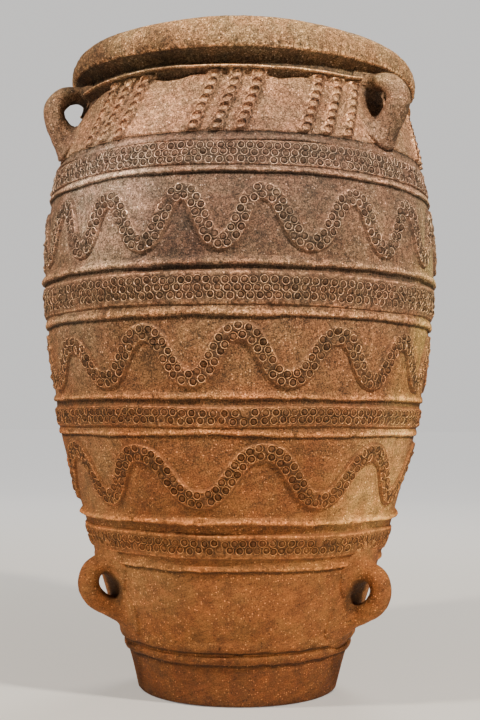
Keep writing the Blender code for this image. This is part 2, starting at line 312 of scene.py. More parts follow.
INNER_HEIGHTS = (
    (1.045, 1.020, 0.985, 0.932, 0.860, 0.790, 0.720, 0.650, 0.575)
    + (0.500, 0.430, 0.365, 0.300, 0.240, 0.190, 0.140, 0.100, 0.070)
)
INNER_RELIEF = -0.3
# Rounded corner between the inside wall and the floor: height, distance in from the wall
INNER_CORNER = ((0.050, 0.004), (0.042, 0.014), (BASE_THICKNESS, 0.030))
FLOOR_RADIUS = 0.07

# Handles: azimuth and how much lower each sits, then the middle line from root to root as radius,
# height, half thickness and half width
UPPER_PLACES = ((-72.0, 0.0), (47.0, 0.0), (168.0, 0.0))
UPPER_LINE = (
    (0.2840, 1.0470, 0.0130, 0.0240),
    (0.3100, 1.0500, 0.0140, 0.0240),
    (0.3350, 1.0435, 0.0170, 0.0235),
    (0.3515, 1.0210, 0.0180, 0.0230),
    (0.3490, 1.0020, 0.0185, 0.0230),
    (0.3370, 0.9810, 0.0205, 0.0240),
    (0.3250, 0.9590, 0.0205, 0.0260),
    (0.3120, 0.9380, 0.0190, 0.0290),
    (0.3010, 0.9200, 0.0160, 0.0310),
)
LOWER_PLACES = ((-62.0, 0.0), (57.0, 0.0090), (178.0, 0.0030))
LOWER_LINE = (
    (0.2380, 0.2285, 0.0155, 0.0230),
    (0.2640, 0.2325, 0.0162, 0.0215),
    (0.2825, 0.2210, 0.0175, 0.0205),
    (0.2885, 0.1990, 0.0180, 0.0200),
    (0.2795, 0.1780, 0.0178, 0.0205),
    (0.2560, 0.1605, 0.0162, 0.0220),
    (0.2110, 0.1380, 0.0155, 0.0240),
)
UPPER_SPREAD = 0.026
LOWER_SPREAD = 0.042
HANDLE_SINK = 0.0001
HANDLE_SIDES = 40
HANDLE_RINGS = 44
SPINE_POINTS = 220
# The loop's rings begin where its middle line is this far outside the wall
CLEAR_OF_WALL = 0.004
# Points are moved onto the surface in rounds, each by no more than a limit. The slope is read a
# small step to both sides.
ROUNDS = 14
ROUND_LIMIT = 0.004
SLOPE_STEP = 0.0004
# Height up to which the groove's lowered edge is followed at the roots
GROOVE_TOP = 1.0345
SKIRT_SHARES = np.array([0.0, 0.10, 0.22, 0.35, 0.48, 0.60, 0.72, 0.84, 0.93])
# How deep the outermost rings of a skirt are tucked into the wall
SKIRT_TUCK = (0.0035, 0.0008, 0.0003, 0.0001)
# How far the wall at the handles' roots stands off the plain one: height, distance
ROOT_WALL = (
    (0.9350, 0.0000),
    (0.9375, 0.0014),
    (1.0265, 0.0014),
    (1.0300, -0.0055),
    (1.0395, -0.0032),
    (1.0520, -0.0043),
    (1.0580, -0.0066),
)


def through(points, at):
    """Smooth curve through points, read at positions: between two points a cubic whose slope at
    each point is that of the line between the point's neighbours."""
    points = np.asarray(points, float)
    x = points[:, 0]
    y = points[:, 1:]
    slope = np.gradient(y, x, axis=0)
    at = np.clip(np.atleast_1d(at), x[0], x[-1])
    i = np.clip(np.searchsorted(x, at, side="right") - 1, 0, len(x) - 2)
    gap = (x[i + 1] - x[i])[:, None]
    t = (at - x[i])[:, None] / gap
    start = y[i] * (1 + 2 * t) * (1 - t) ** 2 + slope[i] * gap * t * (1 - t) ** 2
    end = y[i + 1] * t**2 * (3 - 2 * t) + slope[i + 1] * gap * t**2 * (t - 1)
    return start + end


def wall_radius(height):
    """Radius of the plain wall at heights of any shape."""
    height = np.asarray(height, float)
    return through(WALL, height.ravel())[:, 0].reshape(height.shape)


def smooth(low, high, value):
    """0 below low, 1 above high, and 3t2 - 2t3 between them."""
    t = np.clip((value - low) / (high - low), 0, 1)
    return t * t * (3 - 2 * t)


def hump(value, reach):
    """exp(-(value / reach)^2): 1 at nought, dying away within a few reaches."""
    return np.exp(-((value / reach) ** 2))


def signed(azimuth):
    """The same azimuth between -pi and pi."""
    return (azimuth + np.pi) % TAU - np.pi


def lean(points):
    """Moves the shoulder and rim a little to +X and tilts them down on that side."""
    points = np.array(points, float)
    share = smooth(LEAN_FROM, LEAN_TO, points[..., 2])
    points[..., 2] -= TILT * share * points[..., 0]
    points[..., 0] += LEAN * share
    return points


def on_jar(azimuth, radius, height):
    """Points (radius sin a, -radius cos a, height) on the leaning jar."""
    azimuth, radius, height = np.broadcast_arrays(azimuth, radius, height)
    return lean(np.stack([radius * np.sin(azimuth), -radius * np.cos(azimuth), height], axis=-1))


def ripples(azimuth, height, seed, most, tall=1.0):
    """Smooth unevenness of about +-1 that closes round the jar: the sum of twelve cosines
    cos(n a + m z + phase) with whole n up to most and m up to a turn in tall metres."""
    rng = np.random.default_rng(seed)
    total = np.zeros(np.broadcast(azimuth, height).shape)
    for _ in range(12):
        n = rng.integers(1, most + 1)
        m = rng.normal() * TAU / tall
        total += np.cos(n * azimuth + m * height + rng.uniform(0, TAU))
    return total / np.sqrt(12 / 2)


def lumps(azimuth, height, seed, around, step=1.0):
    """Random values of -1 to 1 on a net of `around` cells round the jar and `step` metres high,
    smoothly blended between the net's points."""
    table = np.random.default_rng(seed).uniform(-1, 1, (64, around))
    u = np.asarray(azimuth) / TAU * around
    v = np.asarray(height) / step
    i = np.floor(u).astype(int)
    j = np.floor(v).astype(int)
    s = smooth(0, 1, u - i)
    t = smooth(0, 1, v - j)
    low = table[j % 64, i % around] * (1 - s) + table[j % 64, (i + 1) % around] * s
    high = table[(j + 1) % 64, i % around] * (1 - s) + table[(j + 1) % 64, (i + 1) % around] * s
    return low * (1 - t) + high * t


def pressed(azimuth, height):
    """Depth of the hollows behind the handles, the sum of d exp(-(a/w)^2 - (z/h)^2)."""
    total = 0.0
    for turned, middle, wide, tall, deep in HOLLOWS:
        aside = signed(azimuth - np.radians(turned)) / wide
        total = total + deep * np.exp(-(aside**2) - ((height - middle) / tall) ** 2)
    return total


def hollow_shade(azimuth, height):
    """Relief that paints shade into the hollows behind the handles."""
    return -HOLLOW_SHADE_RELIEF * np.clip(pressed(azimuth, height) / HOLLOW_SHADE_DEPTH, 0, 1)


def uneven(azimuth, height):
    """How far the hand-made wall stands off the plain one: slow ripples, small lumps and the
    hollows behind the handles."""
    share = bpy.context.scene.storage_jar.unevenness
    slow = ripples(azimuth, height, 11, 7, 0.35)
    fine = lumps(azimuth, height, 12, 90, 0.030)
    return share * (0.8 * slow + 0.35 * fine) - pressed(azimuth, height)


def skin(azimuth, height, proud):
    """Points that stand proud of the uneven wall."""
    return on_jar(azimuth, wall_radius(height) + uneven(azimuth, height) + proud, height)


def tilted(height, slope, azimuth):
    """A level line with a slope towards +X."""
    return height + slope * wall_radius(height) * np.sin(azimuth)


NO_WEAR = np.zeros(2)


class Mesh:
    """Points, faces of any sizes, a UV pair and a wear pair for each face corner, collected."""

    def __init__(self):
        self.points = []
        self.relief = []
        self.count = 0
        self.faces = []
        self.stamps = []
        self.wear = []

    def add(self, points, relief):
        """Adds points with their relief and gives their numbers."""
        points = np.asarray(points, float)
        shape = points.shape[:-1]
        ids = np.arange(self.count, self.count + int(np.prod(shape))).reshape(shape)
        self.points.append(points.reshape(-1, 3))
        self.relief.append(np.broadcast_to(relief, shape).ravel())
        self.count += ids.size
        return ids

    def face(self, ids, stamp=None, wear=None):
        """Adds faces, rows of point numbers, with the stamp's own coordinates at each corner."""
        ids = ids.reshape(-1, ids.shape[-1])
        self.faces.append(ids)
        far = np.full(ids.shape + (2,), 3.0)
        self.stamps.append(far if stamp is None else stamp.reshape(ids.shape + (2,)))
        none = np.zeros(ids.shape + (2,))
        self.wear.append(none if wear is None else wear.reshape(ids.shape + (2,)))

    def rings(self, outer, inner, outer_uv, inner_uv, wear=NO_WEAR):
        """Adds a closed ring of four-cornered faces between two rows of points."""
        quad = np.stack([outer, np.roll(outer, -1, -1), np.roll(inner, -1, -1), inner], axis=-1)
        corners = [outer_uv, np.roll(outer_uv, -1, -2), np.roll(inner_uv, -1, -2), inner_uv]
        uv = np.stack(corners, axis=-2)
        self.face(quad, uv, np.broadcast_to(wear[..., None, None, :], uv.shape))

    def cap(self, ring, centre, ring_uv, wear=NO_WEAR):
        """Adds triangles from a closed ring to its middle point."""
        triangle = np.stack([ring, np.roll(ring, -1, -1), np.broadcast_to(centre, ring.shape)], axis=-1)
        uv = np.stack([ring_uv, np.roll(ring_uv, -1, -2), np.zeros_like(ring_uv)], axis=-2)
        self.face(triangle, uv, np.broadcast_to(wear[..., None, None, :], uv.shape))

    def finish(self, name, material):
        """Makes the object, set in the frame's body and given its finish."""
        points = np.concatenate(self.points)
        sizes = np.concatenate([np.full(len(f), f.shape[1]) for f in self.faces])
        mesh = bpy.data.meshes.new(name)
        mesh.vertices.add(len(points))
        mesh.vertices.foreach_set("co", points.ravel())
        mesh.loops.add(int(sizes.sum()))
        mesh.loops.foreach_set("vertex_index", np.concatenate([f.ravel() for f in self.faces]))
        mesh.polygons.add(len(sizes))
        mesh.polygons.foreach_set("loop_start", np.concatenate([[0], np.cumsum(sizes)[:-1]]))
        mesh.update(calc_edges=True)
        for label, values in (("stamp", self.stamps), ("wear", self.wear)):
            layer = mesh.uv_layers.new(name=label)
            layer.uv.foreach_set("vector", np.concatenate([v.ravel() for v in values]))
        relief = mesh.attributes.new("relief", "FLOAT", "POINT")
        relief.data.foreach_set("value", np.concatenate(self.relief))
        if mesh.validate():
            raise RuntimeError(name + ": the mesh has faulty faces")
        mesh.shade_smooth()
        mesh.materials.append(material)
        piece = bpy.data.objects.new(name, mesh)
        bpy.context.scene.collection.objects.link(piece)
        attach(piece, "root")
        return piece


def net(ids, closed=True):
    """Four-cornered faces of a net of point numbers; closed joins the last column to the first."""
    right = np.roll(ids, -1, axis=1) if closed else ids[:, 1:]
    left = ids if closed else ids[:, :-1]
    return np.stack([left[:-1], right[:-1], right[1:], left[1:]], axis=-1)


def fan(centre, ring, out=True):
    """Triangles from a centre to a closed ring."""
    after = np.roll(ring, -1)
    pair = (ring, after) if out else (after, ring)
    return np.stack([np.full(len(ring), centre), *pair], axis=-1)


def ridge_rows(ridge, azimuth):
    """Rows over a ridge: height h + slope x + wobble + u half. With v from 0 at its lower edge
    to 1 at its upper edge it stands out as v^s (1 - v)^p, so its lower side is steep."""
    jar = bpy.context.scene.storage_jar
    u, tone = np.array(RIDGE_ROWS).T[..., None]
    slow = ripples(azimuth, 0.0, 40 + ridge.seed, 9)
    wobble = jar.ridge_wobble * (0.7 * slow + 0.3 * lumps(azimuth, 0.0, 60 + ridge.seed, 140))
    thick = 1 + 0.16 * lumps(azimuth, 0.0, 80 + ridge.seed, 60)
    z = tilted(ridge.height, ridge.slope, azimuth) + wobble + u * ridge.half * thick
    stand = ridge.proud * (1 + 0.14 * lumps(azimuth, 0.0, 100 + ridge.seed, 45))
    loss = jar.chipping * smooth(0.55, 0.95, lumps(azimuth, u, 120 + ridge.seed, 230, 0.7))
    v = np.clip((u + 1) / 2, 0, 1)
    crest = RIDGE_STEEPNESS / (RIDGE_STEEPNESS + ridge.power)
    full = crest**RIDGE_STEEPNESS * (1 - crest) ** ridge.power
    rise = stand * v**RIDGE_STEEPNESS * (1 - v) ** ridge.power / full * (1 - loss)
    # positive tones are wear and a painted highlight on the crest, negative ones dirt and painted shade
    # under it
    tone = tone * np.where(tone > 0, ridge.pale, ridge.soiled)
    relief = tone - 1.3 * loss * (tone > 0)
    return z, rise, relief


def wall_rows(azimuth):
    """Height, radius and relief of every row of the outside wall, from the underside up. Plain
    rows lie at even steps between the last row and the next."""
    flat = np.zeros_like(azimuth)
    rows = [(WALL_FROM + flat, flat, flat)]

    def plain(count, next_height, proud, relief):
        low = rows[-1][0]
        for step in range(1, count + 1):
            rows.append((low + (next_height - low) * step / (count + 1), proud + flat, relief + flat))

    def step_rows(edge, steps):
        rows.extend((edge + up, proud + flat, relief + flat) for up, proud, relief in steps)

    for ridge in RIDGES.values():
        z, rise, relief = ridge_rows(ridge, azimuth)
        plain(ridge.rows_below, z[0], 0.0, ridge.relief_below)
        rows.extend(zip(z, rise, relief))
    crumble = 0.0016 * lumps(azimuth, 0.0, 31, 170) + 0.0012 * lumps(azimuth, 0.0, 32, 40)
    step_rows(tilted(SHOULDER_EDGE, SHOULDER_SLOPE, azimuth) + crumble, SHOULDER_STEP)
    groove = groove_edge(azimuth) + 0.0008 * lumps(azimuth, 0.0, 34, 90)
    plain(PANEL_ROWS, groove, PANEL_PROUD, 0.0)
    step_rows(groove, GROOVE_STEP)
    height, rise, relief = (np.array(part) for part in zip(*rows))
    radius = wall_radius(height) + uneven(azimuth, height) + rise
    return list(zip(height, radius, relief + hollow_shade(azimuth, height)))


def collar_rise(azimuth):
    """How much the collar is lifted beside the second upper handle."""
    rise, middle, reach = COLLAR_RISE
    return rise * hump(signed(azimuth - middle), reach)


def beside_strips(azimuth):
    """1 at the groups of slanted strips and 0 midway between two groups."""
    away = np.min([np.abs(signed(azimuth - np.radians(group))) for group, _ in STRIP_GROUPS], axis=0)
    return smooth(0.31, 0.17, away)


def groove_edge(azimuth):
    """Height of the lower edge of the groove under the collar: higher at the strips and beside
    the second upper handle, lower beside the first."""
    near = hump(signed(azimuth - np.radians(UPPER_PLACES[0][0])), GROOVE_DROP_REACH)
    edge = GROOVE_LOW + GROOVE_NARROWING * beside_strips(azimuth) + 0.5 * collar_rise(azimuth)
    return edge - GROOVE_DROP * near


def collar_rows(azimuth):
    """Rows over the collar, which wanders up and down and dies away at the handles' roots."""
    shift = 0.0012 * ripples(azimuth, 0.0, 21, 6) + 0.0008 * lumps(azimuth, 0.0, 22, 70)
    swell = 0.0010 * ripples(azimuth, 0.0, 23, 8)
    root = COLLAR[0][1]
    fade = sum(
        smooth(reach, reach - COLLAR_FADE, np.abs(signed(azimuth - np.radians(turned))))
        for turned, reach in COLLAR_GAPS
    )
    rows = []
    for k, (height, radius, relief, follow) in enumerate(COLLAR):
        lifted = height + shift + follow * collar_rise(azimuth)
        radius = radius - fade * max(radius - root, 0.0)
        rows.append((lifted, radius + swell * (k > 0), relief + 0 * azimuth))
    return rows


def rim_rows(azimuth):
    """Rows over the rim from its underside to the mouth: a gritty, chipped face whose lower edge
    hangs down at the front."""
    chipping = bpy.context.scene.storage_jar.chipping
    rim = np.array(RIM)
    along = np.concatenate([[0], np.cumsum(np.hypot(*np.diff(rim, axis=0).T))])
    under = np.linspace(along[RIM_UNDER], along[RIM_FACE], 8)
    face = np.linspace(along[RIM_FACE] + 0.0018, along[RIM_TOP], 30)
    at = np.concatenate([along[:RIM_UNDER], under, face, along[RIM_TOP + 1 :]])
    droop = RIM_DROOP * hump(signed(azimuth), RIM_DROOP_REACH)
    level = 0.0010 * ripples(azimuth, 0.0, 28, 5)
    wave = 0.0012 * ripples(azimuth, 0.0, 26, 7)
    rows = []
    for place, (depth, radius) in zip(at, through(np.column_stack([along, rim]), at)):
        z = HEIGHT - depth - droop * smooth(0.0, 0.046, depth) * smooth(0.064, 0.052, depth)
        out = smooth(0.265, 0.300, radius)
        fine = lumps(azimuth, place, 24, 300, 0.006)
        coarse = lumps(azimuth, place, 25, 120, 0.014)
        grit = 0.0006 * fine + 0.0006 * coarse
        chip = chipping * smooth(0.45, 0.95, lumps(azimuth, place, 27, 150, 0.010))
        corner = place - along[RIM_CORNER]
        edge = hump(corner, 0.006) + 0.6 * hump(place - along[RIM_SHOULDER], 0.008)
        crumbs = 0.0012 * lumps(azimuth, place, 33, 140, 0.005) * edge
        radius = radius + (grit + wave + crumbs) * out - RIM_CHIP * chip * edge
        # a paler lower corner and darker chips; the underside gets -1, painted shade under the rim
        relief = 0.2 + 0.5 * hump(corner, 0.004) - chip * edge
        if place < along[RIM_UNDER] + 1e-6:
            relief = relief * 0 - 1.0
        rows.append((z + level + grit * (1 - out), radius, relief))
    return rows


def inside_rows(azimuth):
    """Rows down the inside, at the wall's thickness behind the plain outside, to the floor."""
    flat = np.zeros_like(azimuth)
    rows = []
    for height in INNER_HEIGHTS:
        radius = wall_radius(height) - WALL_THICKNESS + 0.0012 * ripples(azimuth, height, 29, 6, 0.3)
        rows.append((height + flat, radius, flat + INNER_RELIEF))
    corner = float(wall_radius(BASE_THICKNESS)) - WALL_THICKNESS
    for height, inwards in INNER_CORNER:
        rows.append((height + flat, corner - inwards + flat, flat + INNER_RELIEF))
    return rows + [(BASE_THICKNESS + flat, FLOOR_RADIUS + flat, flat + INNER_RELIEF)]


def body_mesh():
    """The hollow jar without handles and strips: rings from the underside's middle over the
    outside, the collar and the rim, and down the inside to the floor's middle."""
    columns = bpy.context.scene.storage_jar.columns
    azimuth = np.arange(columns) * TAU / columns
    flat = np.zeros_like(azimuth)
    rows = [(height + flat, radius + flat, flat) for radius, height in UNDERSIDE]
    for part in (wall_rows, collar_rows, rim_rows, inside_rows):
        rows += part(azimuth)
    height, radius, relief = (np.array(part) for part in zip(*rows))
    mesh = Mesh()
    ids = mesh.add(on_jar(azimuth, radius, height), relief)
    mesh.face(net(ids))
    under = mesh.add([[0.0, 0.0, 0.0]], 0.0)[0]
    floor = mesh.add([[0.0, 0.0, BASE_THICKNESS]], INNER_RELIEF)[0]
    mesh.face(fan(under, ids[0], out=False))
    mesh.face(fan(floor, ids[-1]))
    return mesh


def stamp_profile(share):
    """Height across a stamped ring against its distance from the middle, in its own depths."""
    return np.interp(share, *np.array(STAMP_PROFILE).T)


def zipper(low_at, high_at):
    """Joins two rows of places round the jar, low and high, each sorted and in 0 to 1.

    Walking along both rows at once, each place makes a triangle with the place before it in its
    own row and the last one passed in the other row. Gives the triangles as three numbers, where
    high places count on from the low ones, how many turns each number has wrapped, whether each
    triangle began in the low row, and where in the walk each low and each high place comes.
    """
    both = np.concatenate([low_at, high_at])
    order = np.argsort(both, kind="stable")
    rank = np.empty(len(order), int)
    rank[order] = np.arange(len(order))
    own_low = order < len(low_at)
    low_rank = rank[: len(low_at)]
    high_rank = rank[len(low_at) :]
    low = np.searchsorted(low_rank, np.arange(len(order)), side="right") - 1
    high = np.searchsorted(high_rank, np.arange(len(order)), side="right") - 1
    numbers = np.stack([low, high, np.where(own_low, low - 1, high - 1)], axis=1)
    every_low = np.full(len(order), len(low_at))
    every_high = np.full(len(order), len(high_at))
    count = np.stack([every_low, every_high, np.where(own_low, every_low, every_high)], axis=1)
    turns = numbers // count
    numbers = numbers % count
    numbers[:, 1] += len(low_at)
    numbers[:, 2] += np.where(own_low, 0, len(low_at))
    return numbers, turns, own_low, low_rank, high_rank


def edge_line(place, edge, side):
    """The line of corners along an edge of a strip: beside each stamp and between two stamps."""
    n = len(place)
    before = np.roll(place, 1) - (np.arange(n) == 0)
    at = np.stack([(place + before) / 2, place], axis=1).ravel()
    after = np.roll(at, -1) + (np.arange(2 * n) == 2 * n - 1)
    middle = (at + after) / 2
    return {
        "points": edge(at, side, 0.0),
        "middles": edge(middle, side, 0.0),
        "first": np.arange(n) * 2,
        "at": np.stack([at, middle], axis=1).ravel(),
        "side": side,
    }


def line_between(low_row, high_row, period):
    """The line of corners between two rows of stamps: the mean of each three neighbours."""
    turn = np.array([period, 0.0])
    numbers, turns, _, low_first, high_first = zipper(low_row[0], high_row[0])
    spots = np.concatenate([low_row[1], high_row[1]])
    corner = (spots[numbers] + turns[..., None] * turn).mean(axis=1)
    after = np.roll(corner, -1, axis=0)
    after[-1] += turn
    middles = (corner + after) / 2
    return {"points": corner, "middles": middles, "low_first": low_first, "high_first": high_first}


def line_ids(line, first, count, backwards):
    """Numbers of the corners and middles along a line from each first corner on."""
    steps = np.arange(2 * count - 1)
    if backwards:
        steps = steps[::-1]
    k = first[:, None] + steps // 2
    return line["start"] + (steps % 2) * line["count"] + k % line["count"]


def stamped_ring(mesh, rows, edge, period, proud, radius, seed, worn, larger=1.0):
    """A strip round the jar covered in stamped rings, as a closed ring of clay.

    rows holds, from the lowest row up, the stamps' places along the strip (0 to 1) and their flat
    points. edge(place, side, out) gives the flat points of the strip's lower (side -1) or upper
    edge, moved out by a distance. Every stamp has a cell of its own. The cells meet at corners:
    the mean of three neighbouring stamps between two rows, and points of the edge line beside the
    outer rows. A cell is its boundary, rings of the stamp's profile inside it and a middle point.
    """
    jar = bpy.context.scene.storage_jar
    rng = np.random.default_rng(seed)
    borders = [edge_line(rows[0][0], edge, -1), edge_line(rows[-1][0], edge, 1)]
    between = [line_between(low, high, period) for low, high in zip(rows[:-1], rows[1:])]
    lines = [borders[0], *between, borders[1]]
    first_low = [borders[0]["first"]] + [line["high_first"] for line in between]
    first_high = [line["low_first"] for line in between] + [borders[1]["first"]]

    # flat points of all lines, then of the middles of the cells' upright sides, row by row
    flat = []
    start = 0
    for line in lines:
        line["start"] = start
        line["count"] = len(line["points"])
        flat += [line["points"], line["middles"]]
        start += 2 * line["count"]
    sides = []
    for r, (place, _) in enumerate(rows):
        low = lines[r]["points"][first_low[r]]
        gap = lines[r + 1]["points"][first_high[r]] - low
        gap[:, 0] -= period * np.round(gap[:, 0] / period)
        sides.append(start)
        flat.append(low + gap / 2)
        start += len(place)
    flat = np.concatenate(flat)

    nearest = np.full(len(flat), 9.0)
    cells = []
    for r, (place, spots) in enumerate(rows):
        n = len(place)
        size = jar.stamp_radius * larger * (1 + rng.uniform(-STAMP_SPREAD, STAMP_SPREAD, n))
        strength = rng.uniform(*STAMP_STRENGTH, n)
        faint = rng.uniform(0, 1, n) < worn
        strength = np.where(faint, rng.uniform(*WORN_STRENGTH, n), strength)
        wear = np.stack([strength, rng.uniform(0, 1, n)], axis=-1)
        tipped = rng.normal(0, STAMP_SLANT, (2, n)).T
        low_count = (np.roll(first_low[r], -1) - first_low[r]) % lines[r]["count"] + 1
        high_count = (np.roll(first_high[r], -1) - first_high[r]) % lines[r + 1]["count"] + 1
        for a, b in sorted(set(zip(low_count.tolist(), high_count.tolist()))):
            pick = np.where((low_count == a) & (high_count == b))[0]
            parts = [
                line_ids(lines[r], first_low[r][pick], a, False),
                (sides[r] + (pick + 1) % n)[:, None],
                line_ids(lines[r + 1], first_high[r][pick], b, True),
                (sides[r] + pick)[:, None],
            ]
            ring = np.concatenate(parts, axis=1)
            away = flat[ring] - spots[pick][:, None]
            away[..., 0] -= period * np.round(away[..., 0] / period)
            far = np.linalg.norm(away, axis=-1)
            np.minimum.at(nearest, ring, far / size[pick][:, None])
            cells.append((ring, away, far, spots[pick], size[pick], wear[pick], tipped[pick]))

    def on_wall(where, rise):
        return skin(where[..., 0] / radius, where[..., 1], rise)

    # the web between the rings: the profile of the nearest ring, rougher than inside a ring
    web = stamp_profile(nearest) * WEB_SHARE
    rough = WEB_ROUGHNESS * lumps(flat[:, 0] / radius, flat[:, 1], seed + 1, 400, 0.006)
    at_edge = np.zeros(len(flat))
    for line in borders:
        at_edge[line["start"] : line["start"] + 2 * line["count"]] = 1
    rise = proud + jar.stamp_depth * (web + rough) * (1 - 0.6 * at_edge) - 0.0003 * at_edge
    # the web is darkened as dirt and painted shade, and the strip's edges are lightened as a painted
    # highlight
    ids = mesh.add(on_wall(flat, rise), -1.0 + web * 0.5 + 2.1 * at_edge)

    # the stamped rings, each tipped a little to one side
    for ring, away, far, spot, size, wear, tipped in cells:
        strength = wear[:, :1]
        previous = ids[ring]
        last = away / size[:, None, None]
        for level in RING_LEVELS:
            reach = np.minimum(level * size[:, None], 0.95 * level * far)
            at = away / far[..., None] * reach[..., None]
            share = reach / size[:, None]
            slant = (at * tipped[:, None]).sum(axis=-1) * smooth(1.15, 0.9, share)
            shape = stamp_profile(share)
            rise = proud + jar.stamp_depth * strength * shape + slant
            # relief darkens the inside of a ring as dirt and painted shade and lightens its lip
            new = mesh.add(on_wall(spot[:, None] + at, rise), -0.35 + shape * strength * 0.7)
            local = at / size[:, None, None]
            mesh.rings(previous, new, last, local, wear)
            previous = new
            last = local
        top = proud + jar.stamp_depth * strength[:, 0] * stamp_profile(0.0)
        centre = mesh.add(on_wall(spot, top), -0.35 - 0.2 * strength[:, 0])
        mesh.cap(previous, centre[:, None], last, wear)

    # the strip's flanks go down into the wall, and a skin inside the wall closes it
    feet = []
    for line in borders:
        block = [ids[line["start"] : line["start"] + 2 * line["count"]].reshape(2, -1).T.ravel()]
        for out, share, relief in FILLET:
            block.append(mesh.add(on_wall(edge(line["at"], line["side"], out), proud * share), relief))
        mesh.face(net(np.array(block[:: line["side"]])))
        place = line["at"] % 1.0
        order = np.argsort(place)
        feet.append((place[order], block[-1][order]))
    (low_at, low_ids), (high_at, high_ids) = feet
    numbers, _, own_low, _, _ = zipper(low_at, high_at)
    low, high, back = np.concatenate([low_ids, high_ids])[numbers].T
    mesh.face(np.stack([np.where(own_low, back, high), np.where(own_low, high, back), low], axis=-1))


def band_piece(name, material):
    """A stamped band: rows of stamps at even steps between two nearly level, wandering edges."""
    jar = bpy.context.scene.storage_jar
    band = BANDS[name]
    radius = float(wall_radius((band.low + band.high) / 2)) + band.proud
    period = TAU * radius
    seed = 300 + 10 * band.number
    rng = np.random.default_rng(seed)

    def level(azimuth, share):
        """Height at a share of the way from the lower to the upper edge."""
        wobble = 0.0010 * ripples(azimuth, 0.0, 200 + band.number, 7)
        bottom = tilted(band.low, band.low_slope, azimuth)
        top = tilted(band.high, band.high_slope, azimuth)
        return bottom + (top - bottom) * share + wobble

    def edge(place, side, out):
        azimuth = place * TAU
        crumbs = 0.0004 * lumps(azimuth, 0.0, seed + 5, 260)
        z = level(azimuth, 0.0 if side < 0 else 1.0) + side * (out + crumbs)
        return np.column_stack([azimuth * radius, z])

    rows = []
    for r in range(band.rows):
        n = int(round(period / jar.stamp_pitch)) + int(rng.integers(-1, 2))
        drift = 0.25 * ripples(np.arange(n) / n * TAU, 0.0, seed + r, 9)
        place = (np.arange(n) + 0.5 * (r % 2) + drift + rng.uniform(-0.09, 0.09, n)) / n % 1.0
        place = np.sort(place)
        share = 0.5 + (r - (band.rows - 1) / 2) * jar.row_pitch / (band.high - band.low)
        z = level(place * TAU, share) + rng.normal(0, 0.0008, n)
        rows.append((place, np.column_stack([place * TAU * radius, z])))
    mesh = Mesh()
    stamped_ring(mesh, rows, edge, period, band.proud, radius, seed, band.worn)
    return mesh.finish(name, material)


def wave_line(wave):
    """A wavy strip's middle line, flat, at close steps from half a turn before to half a turn
    after the jar's own: the places along it, 0 to 1 once round, and its points.

    The height is middle + amplitude (sin p + e sin 3p)/(1 - e), less the crest's own lowering
    times (1 + sin p)/2, where p grows by one turn from crest to crest.
    """
    front = np.array(wave.crests)
    rest = wave.count - len(front)
    gap = np.linspace(front[-1, 0], front[0, 0] + 360.0, rest + 2)[1:-1]
    rng = np.random.default_rng(400 + wave.number)
    gap = gap + rng.uniform(-0.8, 0.8, rest)
    lowered = np.concatenate([front[:, 1], rng.uniform(0.0, 0.005, rest)])
    crest = np.radians(np.concatenate([front[:, 0], gap]))
    crest = np.concatenate([crest - TAU, crest, crest + TAU])
    turn = np.linspace(-0.5 * TAU, 1.5 * TAU, WAVE_POINTS)
    phase = TAU * np.interp(turn, crest, np.arange(len(crest)) - wave.count) + np.pi / 2
    shape = (np.sin(phase) + WAVE_ROUNDING * np.sin(3 * phase)) / (1 - WAVE_ROUNDING)
    lower = np.interp(turn, crest, np.tile(lowered, 3)) * (1 + np.sin(phase)) / 2
    return turn, wave.middle + wave.amplitude * shape - lower


def wave_piece(name, material):
    """A wavy strip with two rows of stamps, each row evenly spaced along its own offset line."""
    jar = bpy.context.scene.storage_jar
    wave = WAVES[name]
    turn, z = wave_line(wave)
    radius = float(wall_radius(wave.middle)) + WAVE_PROUD
    middle = np.column_stack([turn * radius, z])
    step = np.gradient(middle, axis=0)
    along = step / np.linalg.norm(step, axis=1)[:, None]
    normal = np.column_stack([-along[:, 1], along[:, 0]])
    once = (turn >= 0) & (turn < TAU + 1e-9)
    place_at = turn / TAU
    seed = 500 + 10 * wave.number
    rng = np.random.default_rng(seed)

    def line(place, out):
        spot = [np.interp(place, place_at, middle[:, k] + out * normal[:, k]) for k in (0, 1)]
        return np.stack(spot, axis=-1)

    def edge(place, side, out):
        return line(place, side * (WAVE_HALF_WIDTH + out))

    rows = []
    for r, offset in enumerate((-WAVE_ROW, WAVE_ROW)):
        moved = middle + offset * normal
        length = np.concatenate([[0], np.cumsum(np.linalg.norm(np.diff(moved[once], axis=0), axis=1))])
        n = int(round(length[-1] / jar.stamp_pitch / WAVE_SPREAD))
        at = (np.arange(n) + 0.5 * r + 0.3 + rng.uniform(-0.13, 0.13, n)) * length[-1] / n % length[-1]
        place = np.sort(np.interp(at, length, place_at[once]))
        rows.append((place, line(place, offset) + rng.normal(0, 0.0006, (n, 2))))
    mesh = Mesh()
    stamped_ring(mesh, rows, edge, TAU * radius, WAVE_PROUD, radius, seed, WAVE_WORN, WAVE_STAMP_SIZE)
    return mesh.finish(name, material)


